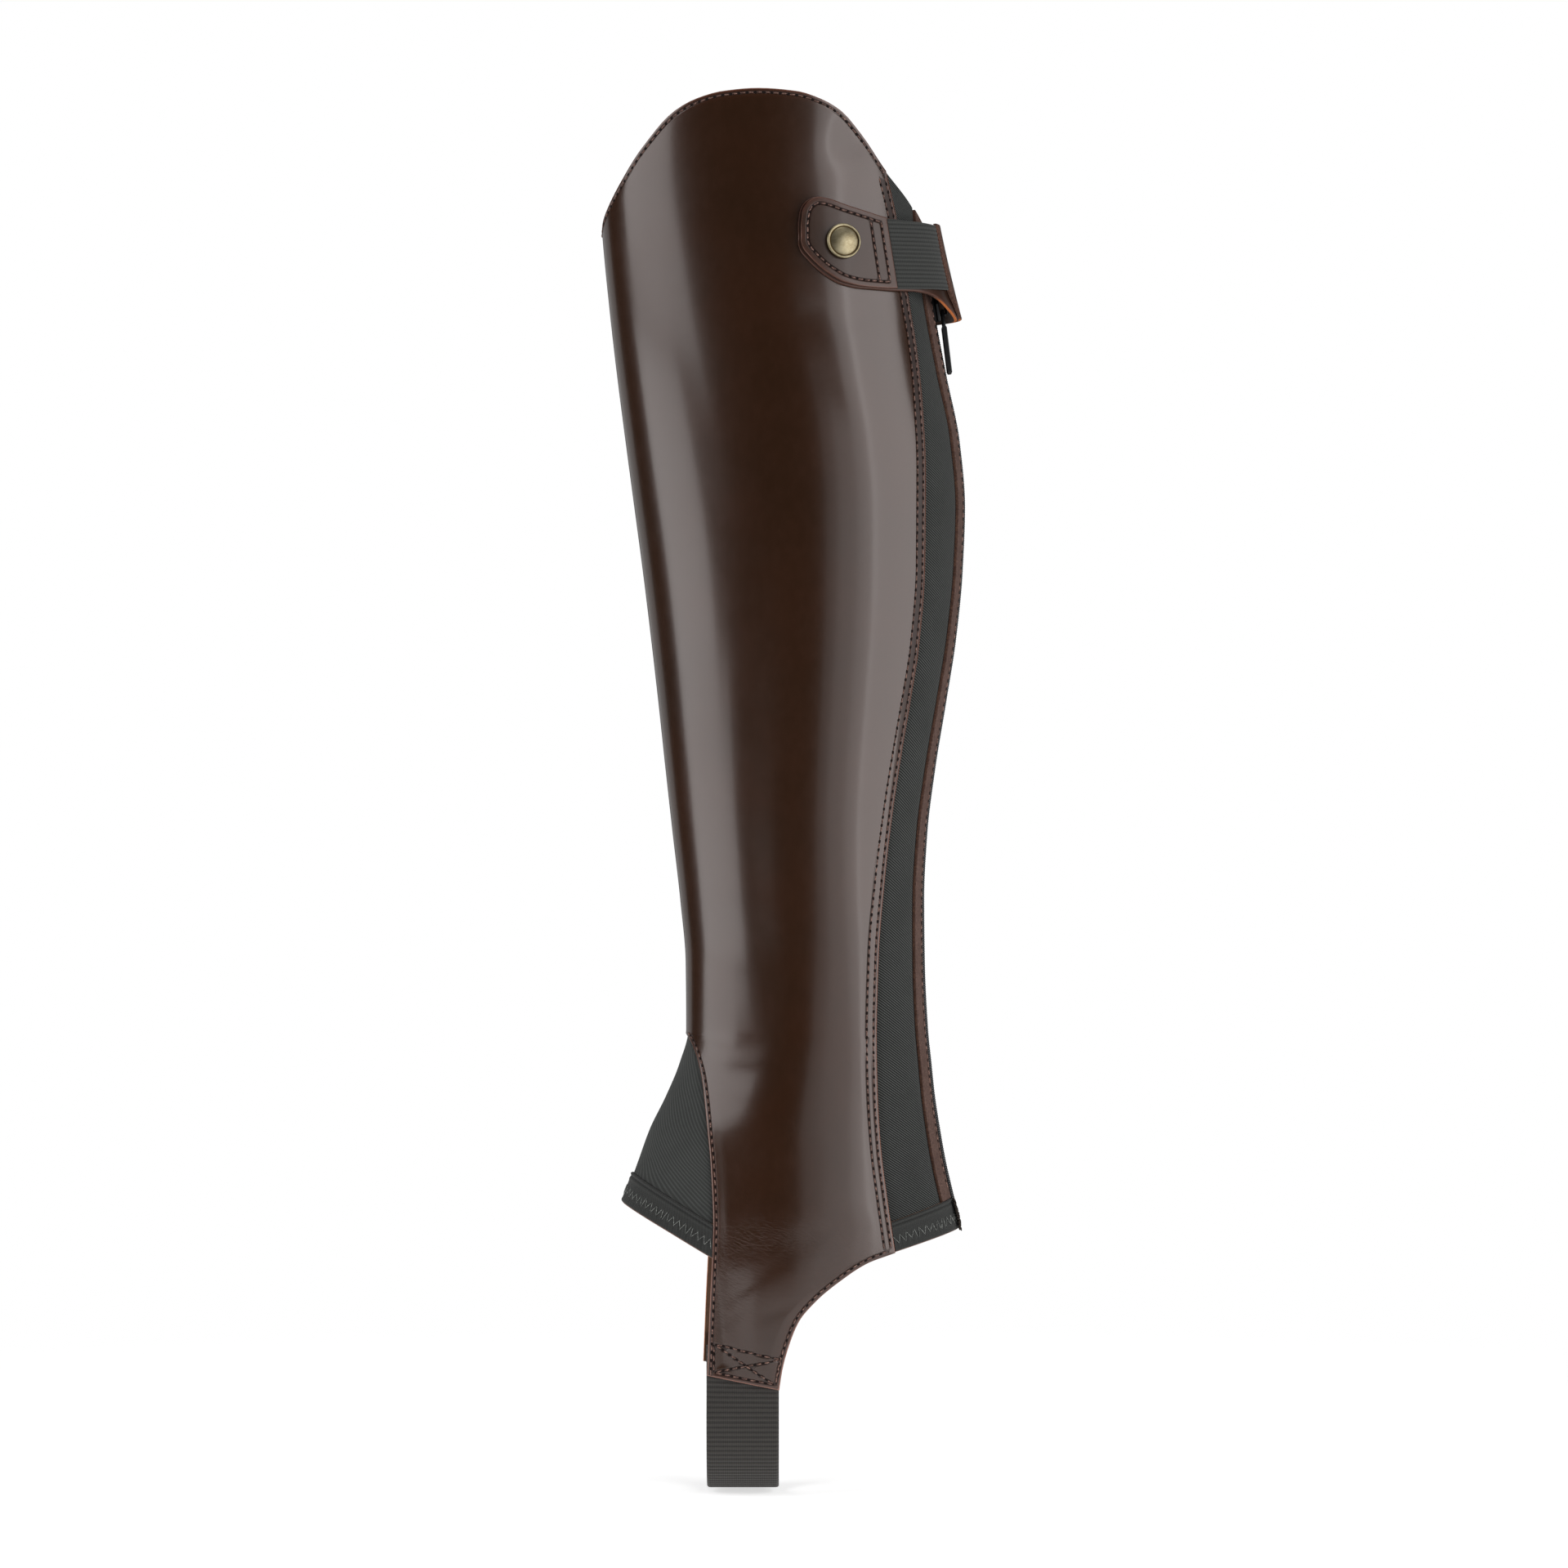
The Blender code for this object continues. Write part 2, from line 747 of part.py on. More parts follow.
def make_strap():
    lift = STRAP_LAYER + SEAM_GAP

    def tab(i, j, face, across=14, up=8):
        t = 1 - math.cos(math.pi / 2 * i / across)
        z = STRAP_MIDDLE
        for _ in range(SETTLE):
            x = TAB[0][0] + (tab_limit(z) - TAB[0][0]) * t
            low, high = tab_lower(x), tab_upper(x)
            z = low + (high - low) * j / up
        return on_strap(side_angle(x, z), z, lift + STRAP_LAYER * (1 - face))

    wall("snap_tab", tab, 14, 8, "brown_leather")

    tab_rows = 12
    back_rows = 22

    def backing(i, j, face, up=6):
        z = STRAP_MIDDLE
        for _ in range(SETTLE):
            if i <= tab_rows:
                t = 1 - math.cos(math.pi / 2 * i / tab_rows)
                limit = form(round_from_zip(BACKING_JOIN, z), z).x
                x = TAB[0][0] - BACKING_EDGE + (limit - TAB[0][0] + BACKING_EDGE) * t
                near = min(x + BACKING_EDGE, TAB_END)
                edge = BACKING_EDGE * (1 - t)
                blend = t ** 4
                low = (tab_lower(near) - edge) * (1 - blend) + backing_lower(BACKING_JOIN) * blend
                high = (tab_upper(near) + edge * 0.3) * (1 - blend) + backing_upper(BACKING_JOIN) * blend
                angle = side_angle(x, z)
            else:
                share = (i - tab_rows) / back_rows
                distance = BACKING_JOIN + (BACKING[0][0] - BACKING_JOIN) * share
                low, high = backing_lower(distance), backing_upper(distance)
                angle = round_from_zip(distance, z)
            z = low + (high - low) * j / up
        return on_strap(angle, z, STRAP_LAYER * (1 - face))

    wall("strap_backing", backing, tab_rows + back_rows, 6, "brown_leather")

    def elastic(i, j, face, across=12, up=6):
        z = STRAP_MIDDLE
        for _ in range(SETTLE):
            start = distance_from_zip(side_angle(tab_limit(z), z), z) - SEAM_GAP * 1.5
            end = back_layer_end(z) + SEAM_GAP
            distance = start + (end - start) * i / across
            low = ELASTIC_FOOT[0] + (ELASTIC_FOOT[1] - ELASTIC_FOOT[0]) * i / across
            high = ELASTIC_HEAD[0] + (ELASTIC_HEAD[1] - ELASTIC_HEAD[0]) * i / across
            z = low + (high - low) * j / up
        return on_strap(round_from_zip(distance, z), z, lift + STRAP_ELASTIC * (1 - face))

    wall("tab_elastic", elastic, 12, 6, "black_webbing")

    def back_layer(i, j, face, across=16, up=7):
        z = STRAP_MIDDLE
        for _ in range(SETTLE):
            end = back_layer_end(z)
            distance = end + (BACK_LAYER_START - end) * i / across
            reach = max(distance, BACKING[0][0])
            low = backing_lower(min(reach, BACK_LAYER_END[0][1]))
            high = backing_upper(reach) + SEAM_GAP
            z = low + (high - low) * j / up
        return on_strap(round_from_zip(distance, z), z, lift + STRAP_LAYER * (1 - face))

    wall("strap_base", back_layer, 16, 7, "brown_leather")


def make_snap_cap():
    """A plain domed cap, turned round its own axis and set square on the tab."""
    bm = bmesh.new()
    ease = CAP_EASE
    inner = CAP_RADIUS - CAP_BORDER
    low = CAP_RIM - CAP_GROOVE
    profile = [
        (0, 0), (CAP_RADIUS - ease, 0), (CAP_RADIUS, ease), (CAP_RADIUS, CAP_RIM - ease),
        (CAP_RADIUS - ease, CAP_RIM), (inner, low),
    ]
    dome = 5
    for k in range(1, dome + 1):
        left = 1 - k / dome
        profile.append((inner * left, low + (CAP_CROWN - low) * (1 - left ** 2)))
    verts = [bm.verts.new(Vector((radius, 0, height)) * MM) for radius, height in profile]
    edges = [bm.edges.new(pair) for pair in zip(verts, verts[1:])]
    bmesh.ops.spin(
        bm, geom=verts + edges, cent=(0, 0, 0), axis=(0, 0, 1), angle=2 * math.pi, steps=24, use_merge=True
    )
    bmesh.ops.remove_doubles(bm, verts=bm.verts[:], dist=0.01 * MM)
    cap = make_object("snap_cap", bm, "aged_brass", 50)
    angle = math.radians(CAP_AT_DEGREES)
    axis = outward(angle, CAP_Z)
    seat = 2 * (STRAP_LAYER + SEAM_GAP) + SEAM_GAP + CAP_CLEAR
    cap.location = off_form(angle, CAP_Z, seat) * MM
    cap.rotation_mode = "QUATERNION"
    cap.rotation_quaternion = axis.to_track_quat("Z", "Y")


def make_stirrup():
    """Ribbed elastic from inside one tongue, round under the boot and up inside the other."""
    straight = 7
    bend = 20
    across = 4
    centre = STIRRUP_FOOT + STIRRUP_RADIUS

    def place(i, j, face):
        x = STIRRUP_MIDDLE - STIRRUP_WIDTH / 2 + STIRRUP_WIDTH * i / across
        inset = STIRRUP_THICK * face
        last = 2 * straight + bend
        if straight <= j <= last - straight:
            turn = math.pi * (j - straight) / bend
            radius = STIRRUP_RADIUS - inset
            return Vector((x, -radius * math.cos(turn), centre - radius * math.sin(turn)))
        outer_side = j < straight
        rise = (straight - j if outer_side else j - last + straight) / straight
        z = centre + (STIRRUP_TOP - centre) * rise
        angle = side_angle(x, z)
        if not outer_side:
            angle = 2 * math.pi - angle
        tucked = off_form(angle, z, -LEATHER - SEAM_GAP - inset)
        loop_y = (-1 if outer_side else 1) * (STIRRUP_RADIUS - inset)
        t = min(rise / STIRRUP_SPREAD, 1)
        t = t * t * (3 - 2 * t)
        return Vector((x, loop_y + (tucked.y - loop_y) * t, z))

    wall("stirrup_elastic", place, across, 2 * straight + bend, "black_webbing")


def build():
    clear_scene()
    make_leather_panels()
    make_back_strips()
    make_foot_strips()
    make_zip_line()
    make_slider()
    make_pull()
    make_strap()
    make_snap_cap()
    make_stirrup()


build()
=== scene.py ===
"""The looks of a left half chap: polished brown leather, black elastic twill, a back zip and ribbed elastic straps.

Sizes are in millimetres, as in the cutting of the pieces, and become metres as each mesh is made. Every cloth piece
lies on one form, read by the angle round the leg: 0 at the shin, 90 degrees on the outer side, 180 at the zip and 270
on the inner side.
"""

import math

import bmesh
import bpy
import numpy as np
from mathutils import Matrix, Vector
from mathutils.bvhtree import BVHTree
from mathutils.kdtree import KDTree


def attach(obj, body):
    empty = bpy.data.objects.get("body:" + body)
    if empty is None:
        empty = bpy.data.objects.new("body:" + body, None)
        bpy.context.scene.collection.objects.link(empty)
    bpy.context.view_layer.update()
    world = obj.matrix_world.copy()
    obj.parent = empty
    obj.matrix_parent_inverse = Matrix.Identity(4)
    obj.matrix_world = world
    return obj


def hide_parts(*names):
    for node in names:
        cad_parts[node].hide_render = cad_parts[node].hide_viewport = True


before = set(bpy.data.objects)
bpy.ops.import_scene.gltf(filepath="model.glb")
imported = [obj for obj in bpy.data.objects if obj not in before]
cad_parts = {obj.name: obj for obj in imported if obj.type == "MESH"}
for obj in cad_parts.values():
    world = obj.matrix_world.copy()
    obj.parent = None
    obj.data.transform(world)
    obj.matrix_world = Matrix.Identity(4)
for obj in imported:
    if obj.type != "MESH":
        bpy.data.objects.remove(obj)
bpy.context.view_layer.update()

MM = 0.001
FULL_TURN = 2 * math.pi

# Walls and edges
LEATHER = 1.5
EDGE_ROUND = 0.5
ELASTIC = 0.8
ELASTIC_SUNK = 0.9
TUCKED_SUNK = 1.75
TUCK = 4.0
TAPE = 0.6
BINDING = 1.9
BINDING_PROUD = 0.3
SEAM_GAP = 0.3

# The form that the pieces lie on
EGG = 0.12
PACES = 6
SECTIONS = (
    # z, shin x, back x, half width
    (-420, -83.5, 70.5, 32.5),
    (-380, -83.5, 70.5, 33.5),
    (-350, -83.0, 70.0, 35.5),
    (-320, -80.8, 69.2, 37.3),
    (-306, -76.6, 68.4, 37.6),
    (-292, -71.6, 65.0, 37.5),
    (-279, -66.9, 62.0, 37.2),
    (-265, -61.8, 59.5, 36.9),
    (-252, -55.4, 57.5, 36.6),
    (-238, -49.6, 56.0, 36.4),
    (-224, -46.0, 54.6, 36.4),
    (-197, -46.2, 53.3, 37.2),
    (-170, -48.5, 53.0, 39.0),
    (-143, -51.6, 54.3, 41.5),
    (-116, -54.6, 57.6, 44.2),
    (-88, -57.6, 62.2, 47.0),
    (-61, -60.7, 66.4, 49.5),
    (-34, -64.0, 69.0, 51.2),
    (-7, -67.6, 70.0, 52.0),
    (20, -71.2, 67.8, 51.8),
    (48, -74.8, 62.2, 50.6),
    (75, -77.9, 57.3, 48.8),
    (107, -81.0, 53.4, 46.6),
    (136, -83.0, 51.0, 44.6),
    (170, -84.5, 48.6, 42.6),
)

# Seams, as they look from the side
FRONT_SEAM_DEGREES = -3.5
FRONT_SEAM = math.radians(FRONT_SEAM_DEGREES)
GUSSET_TOP = -226.0
GUSSET_SEAM = (
    # z, x
    (-372, -37.4),
    (-337, -36.0),
    (-316, -35.0),
    (-303, -34.6),
    (-280, -35.6),
    (-261, -37.4),
    (-244, -39.4),
    (-235, -41.6),
    (-230, -43.6),
    (-226, -46.1),
)
STRETCH_SEAM = (
    # z, x
    (-315, 40.8),
    (-293, 37.5),
    (-271, 34.8),
    (-249, 33.5),
    (-227, 33.1),
    (-194, 33.9),
    (-160, 36.6),
    (-133, 39.8),
    (-110, 43.3),
    (-88, 47.0),
    (-66, 50.4),
    (-33, 52.9),
    (6, 53.2),
    (34, 51.9),
    (56, 49.7),
    (76, 46.5),
    (111, 41.2),
    (130, 36.9),
)
HEEL_CURVE = (
    # z, x
    (-372, -7.2),
    (-363, -5.8),
    (-354, -3.4),
    (-343, 1.0),
    (-334, 8.6),
    (-326, 18.4),
    (-319, 29.4),
    (-315, 40.8),
)
HEEL_CORNER = STRETCH_SEAM[0][0]
INNER_TONGUE_FORWARD = 2.4
INNER_SHIFT_START, INNER_SHIFT_LENGTH = -285, 30
TOP_EDGE = (
    # degrees, z
    (-20, 106),
    (0, 107.5),
    (9, 111.6),
    (18, 116.4),
    (30, 125.4),
    (45, 140.0),
    (60, 154.0),
    (69, 158.8),
    (79, 161.6),
    (91, 162.6),
    (105, 161.4),
    (114, 158.4),
    (122, 153.6),
    (130, 144.6),
    (141, 130.4),
    (154, 120.2),
    (169, 111.4),
    (180, 108.6),
    (195, 107.0),
    (230, 101.0),
    (270, 97.0),
    (315, 100.0),
    (345, 106.5),
    (380, 112.0),
)

# The bindings at the foot and the end of the tongue are cut on sloping lines.
FRONT_HEM_TOP, FRONT_HEM_AT, FRONT_HEM_FALL, FRONT_HEM_HEIGHT = -283.6, -67.9, 0.59, 12.6
HEEL_HEM_TOP, HEEL_HEM_AT, HEEL_HEM_RISE, HEEL_HEM_HEIGHT = -295.2, 60.1, 0.33, 13.0
TONGUE_END, TONGUE_AT, TONGUE_FALL = -365.6, -37.3, 0.19

# The zip, measured round the leg from its middle
ZIP_EDGE = 8.0
FACING_EDGE = 17.0
ZIP_FOOT = -304.0
ZIP_HEAD = 106.0
CHAIN_HEAD = 68.8

# The fastening strap
STRAP_LAYER = 1.5
STRAP_ELASTIC = 1.3
TAB_SLANT = 0.152
TAB_FOOT = 80.6
TAB_END = 39.2
TAB = (
    # x, lower z, upper z
    (1.4, 99.0, 106.5),
    (2.2, 96.4, 112.0),
    (4.4, 93.4, 115.4),
    (8.2, 89.4, 117.3),
    (12.0, 86.2, 116.7),
    (18.7, 82.4, 114.4),
    (27.0, 80.7, 111.9),
    (35.0, 80.4, 109.7),
    (40.0, 80.6, 109.0),
)
BACKING_EDGE = 0.9
BACKING = (
    # mm round from the zip, lower z, upper z
    (-52, 72.0, 104.0),
    (-48, 70.0, 106.0),
    (-20, 69.4, 108.0),
    (-3, 69.2, 109.0),
    (3, 69.6, 109.2),
    (12, 72.4, 109.0),
    (18, 76.4, 109.0),
    (25, 79.2, 109.2),
    (34, 80.0, 109.5),
    (44, 79.8, 110.6),
)
BACK_LAYER_END = (
    # z, mm round from the zip
    (69.2, 2.0),
    (74.0, 8.0),
    (81.0, 12.5),
    (92.0, 12.5),
    (109.5, 11.0),
)
BACK_LAYER_START = -56.0
BULGE_FOOT, BULGE_HEAD, BULGE_FULL, BULGE_NONE = 7.2, 3.0, 9.0, 44.0
STRAP_FOOT, STRAP_HEAD, STRAP_MIDDLE = 69.0, 109.0, 95.0
BACKING_JOIN = 42.0
TAB_ROW = 2.6
TAB_BARS = (2.6, 6.6)
SQUARE_SIDES = (-34.0, -52.0)
SQUARE_HEIGHTS = (73.5, 103.5)

# The press stud's cap
CAP_DEGREES, CAP_Z, CAP_RADIUS, CAP_RIM, CAP_CROWN = 117.2, 99.0, 7.2, 1.4, 2.5

# The elastic under the boot
STIRRUP_WIDTH, STIRRUP_MIDDLE, STIRRUP_TOP, STIRRUP_FOOT = 29.8, -22.3, -353.0, -414.8
STIRRUP_RADIUS, STIRRUP_THICK, STIRRUP_RIB = 31.0, 1.4, 2.05

# Sewing
UNSEWN = 9.0
SEWN_STEP = 0.3
STITCH_PITCH = 3.35
STITCH_LONG = 2.5
STITCH_PROUD = 0.05
SEAT_REACH = 12.0
STRAP_STITCH_PITCH = 2.9
THREAD = 0.62


def smooth(table, column=1):
    """A smooth function of the table's first column that never swings past its rows. It takes numbers or arrays."""
    places = np.array([row[0] for row in table], float)
    values = np.array([row[column] for row in table], float)
    steps = np.diff(values) / np.diff(places)
    together = steps[:-1] * steps[1:]
    total = np.where(steps[:-1] + steps[1:] == 0, 1, steps[:-1] + steps[1:])
    middle = np.where(together > 0, 2 * together / total, 0)
    slopes = np.concatenate([steps[:1], middle, steps[-1:]])

    def value(at):
        at = np.clip(at, places[0], places[-1])
        i = np.clip(np.searchsorted(places, at, "right") - 1, 0, len(places) - 2)
        width = places[i + 1] - places[i]
        t = (at - places[i]) / width
        return (
            (1 + 2 * t) * (1 - t) ** 2 * values[i]
            + t * (1 - t) ** 2 * width * slopes[i]
            + t * t * (3 - 2 * t) * values[i + 1]
            + t * t * (t - 1) * width * slopes[i + 1]
        )

    return value


shin_x = smooth(SECTIONS, 1)
back_x = smooth(SECTIONS, 2)
half_width = smooth(SECTIONS, 3)
gusset_x = smooth(GUSSET_SEAM)
stretch_x = smooth(STRETCH_SEAM)
heel_x = smooth(HEEL_CURVE)
top_z = smooth(TOP_EDGE)
tab_lower = smooth(TAB, 1)
tab_upper = smooth(TAB, 2)
backing_lower = smooth(BACKING, 1)
backing_upper = smooth(BACKING, 2)
back_layer_end = smooth(BACK_LAYER_END)


def form(angle, z):
    """Points of the leather's outer face, in mm, at these angles and heights."""
    shin = shin_x(z)
    reach = (back_x(z) - shin) / 2
    turn = np.cos(angle)
    side = -half_width(z) * np.sin(angle) * (1 - EGG * turn)
    return np.stack(np.broadcast_arrays(shin + reach * (1 - turn), side, z), axis=-1)


def outward(angle, z):
    along = form(angle + 0.01, z) - form(angle - 0.01, z)
    up = form(angle, z + 1.0) - form(angle, z - 1.0)
    normal = np.cross(along, up)
    return normal / np.linalg.norm(normal, axis=-1, keepdims=True)


def off_form(angle, z, proud):
    return form(angle, z) + outward(angle, z) * np.asarray(proud, float)[..., None]


def side_angle(x, z):
    """The angle on the outer side at which the form has this x."""
    shin = shin_x(z)
    reach = (back_x(z) - shin) / 2
    return np.arccos(np.clip(1 - (x - shin) / reach, -1.0, 1.0))


def pace(angle, z):
    """Millimetres round the leg for each radian."""
    return np.linalg.norm(form(angle + 0.005, z) - form(angle - 0.005, z), axis=-1) * 100


def moved(angle, z, distance):
    """The angle that lies this many millimetres further round the leg."""
    for _ in range(PACES):
        angle = angle + distance / PACES / pace(angle, z)
    return angle


def round_from_zip(distance, z):
    """The angle this far from the zip's middle, towards the outer side."""
    return moved(math.pi, z, -np.asarray(distance, float))


def distance_from_zip(angle, z):
    """Millimetres round the leg from the zip's middle, positive on the outer side."""
    total = 0.0
    for k in range(8):
        here = math.pi + (angle - math.pi) * k / 8
        there = math.pi + (angle - math.pi) * (k + 1) / 8
        total = total + np.linalg.norm(form(there, z) - form(here, z), axis=-1)
    return np.where(angle < math.pi, total, -total)


def front_hem(x):
    return FRONT_HEM_TOP - FRONT_HEM_FALL * (x - FRONT_HEM_AT)


def heel_hem(x):
    return HEEL_HEM_TOP + HEEL_HEM_RISE * (x - HEEL_HEM_AT)


def tongue_end(x):
    return TONGUE_END - TONGUE_FALL * (x - TONGUE_AT)


def meets(line, start):
    """A function of the angle that gives where the form crosses a line drawn from the side."""

    def height(angle):
        z = np.full(np.shape(angle), float(start))
        for _ in range(12):
            z = line(form(angle, z)[..., 0])
        return z

    return height


front_hem_top = meets(front_hem, FRONT_HEM_TOP)
heel_hem_top = meets(heel_hem, HEEL_HEM_TOP)
tongue_foot = meets(tongue_end, TONGUE_END)


def heel_hem_foot(angle):
    return heel_hem_top(angle) - HEEL_HEM_HEIGHT


def front_hem_foot(angle):
    return front_hem_top(angle) - FRONT_HEM_HEIGHT


def head_at(angle):
    return top_z(np.degrees(angle))


def front_of_outer(z):
    return np.where(z < GUSSET_TOP, side_angle(gusset_x(z), z), FRONT_SEAM)


def front_of_inner(z):
    x = gusset_x(z) - INNER_TONGUE_FORWARD * np.clip((INNER_SHIFT_START - z) / INNER_SHIFT_LENGTH, 0, 1)
    low = FULL_TURN - np.maximum(side_angle(x, z), -FRONT_SEAM)
    return np.where(z >= GUSSET_TOP, FULL_TURN + FRONT_SEAM, low)


def inner_gusset_angle(z):
    return front_of_inner(z) - FULL_TURN


def back_of_outer(z):
    return side_angle(np.where(z > HEEL_CORNER, stretch_x(z), heel_x(z)), z)


def zip_side_of_inner(z):
    by_zip = FULL_TURN - round_from_zip(ZIP_EDGE, z)
    hem_x = HEEL_HEM_AT + (z + HEEL_HEM_HEIGHT - HEEL_HEM_TOP) / HEEL_HEM_RISE
    x = np.where(z > HEEL_CORNER, hem_x, heel_x(z) - INNER_TONGUE_FORWARD)
    return np.maximum(by_zip, FULL_TURN - side_angle(np.minimum(x, back_x(z)), z))


def facing_seam(z):
    return round_from_zip(FACING_EDGE, z)


def zip_edge(z):
    return round_from_zip(ZIP_EDGE, z)


def bulge(distance, z):
    """How far the strap stands off the leg: it bridges the back, more so at its lower edge."""
    at_back = BULGE_FOOT + (BULGE_HEAD - BULGE_FOOT) * np.clip((z - STRAP_FOOT) / (STRAP_HEAD - STRAP_FOOT), 0, 1)
    t = np.clip((BULGE_NONE - np.abs(distance)) / (BULGE_NONE - BULGE_FULL), 0, 1)
    return at_back * t * t * (3 - 2 * t)


def on_strap(angle, z, lift):
    return off_form(angle, z, SEAM_GAP + bulge(distance_from_zip(angle, z), z) + lift)


def tab_limit(z):
    return TAB_END - TAB_SLANT * (z - TAB_FOOT)


def new_node(tree, kind, settings=None, inputs=None):
    """Adds a node to a tree: its settings come first, then its sockets' values or links."""
    node = tree.nodes.new(kind)
    for key, value in (settings or {}).items():
        setattr(node, key, value)
    for key, value in (inputs or {}).items():
        value = getattr(value, "socket", value)
        if isinstance(value, bpy.types.NodeSocket):
            tree.links.new(value, node.inputs[key])
        else:
            node.inputs[key].default_value = value
    return node


class Field:
    """A number that varies over a surface, written in plain expressions that add Math nodes."""

    def __init__(self, shader, socket):
        self.shader = shader
        self.socket = socket

    def math(self, operation, *others):
        values = [self.socket] + [getattr(other, "socket", other) for other in others]
        inputs = dict(enumerate(values))
        return self.shader.add("ShaderNodeMath", {"operation": operation}, inputs)

    def __add__(self, other):
        return self.math("ADD", other)

    def __sub__(self, other):
        return self.math("SUBTRACT", other)

    def __mul__(self, other):
        return self.math("MULTIPLY", other)

    __radd__ = __add__

    def __rsub__(self, other):
        return (self * -1.0) + other

    def clamp(self):
        return self.shader.add("ShaderNodeClamp", {}, {0: self.socket})

    def ramp(self, low, high):
        """0 below low, 1 above high, and smooth between."""
        settings = {"interpolation_type": "SMOOTHSTEP"}
        return self.shader.add("ShaderNodeMapRange", settings, {0: self.socket, 1: low, 2: high, 3: 0.0, 4: 1.0})


class Shader:
    """One material's node tree. add() makes any node and gives one of its outputs."""

    def __init__(self, name, **constants):
        self.material = bpy.data.materials.new(name)
        self.material.use_nodes = True
        self.tree = self.material.node_tree
        self.surface = self.tree.nodes["Principled BSDF"]
        for socket, value in constants.items():
            self.surface.inputs[socket.replace("_", " ")].default_value = value

    def add(self, kind, settings=None, inputs=None, output=0):
        return Field(self, new_node(self.tree, kind, settings, inputs).outputs[output])

    def noise(self, at, scale, detail=3.0, roughness=0.55):
        return self.add(
            "ShaderNodeTexNoise", {}, {"Vector": at, "Scale": scale, "Detail": detail, "Roughness": roughness}
        )

    def place(self):
        return self.add("ShaderNodeTexCoord", output=3)

    def stretched(self, at, scale):
        return self.add("ShaderNodeVectorMath", {"operation": "MULTIPLY"}, {0: at, 1: scale})

    def cut_uv(self):
        return self.add("ShaderNodeUVMap", {"uv_map": "cut"})

    def reading(self, name):
        """A number stored on the piece's points."""
        return self.add("ShaderNodeAttribute", {"attribute_name": name}, output=2)

    def parts(self, vector):
        node = self.tree.nodes.new("ShaderNodeSeparateXYZ")
        self.tree.links.new(vector.socket, node.inputs[0])
        return [Field(self, out) for out in node.outputs]

    def mix(self, factor, first, second):
        """One colour into another."""
        settings = {"data_type": "RGBA"}
        return self.add("ShaderNodeMix", settings, {0: factor, 6: first, 7: second}, output=2)

    def bump(self, height, distance, strength=1.0, after=None):
        inputs = {"Height": height, "Distance": distance, "Strength": strength}
        if after is not None:
            inputs["Normal"] = after
        return self.add("ShaderNodeBump", {}, inputs)

    def feed(self, **sockets):
        for name, value in sockets.items():
            self.tree.links.new(value.socket, self.surface.inputs[name.replace("_", " ")])
        return self.material


def tone(red, green, blue):
    """A colour given as it looks on screen, from 0 to 255, as the shader wants it."""

    def linear(value):
        value /= 255
        return value / 12.92 if value <= 0.04045 else ((value + 0.055) / 1.055) ** 2.4

    return (linear(red), linear(green), linear(blue), 1.0)


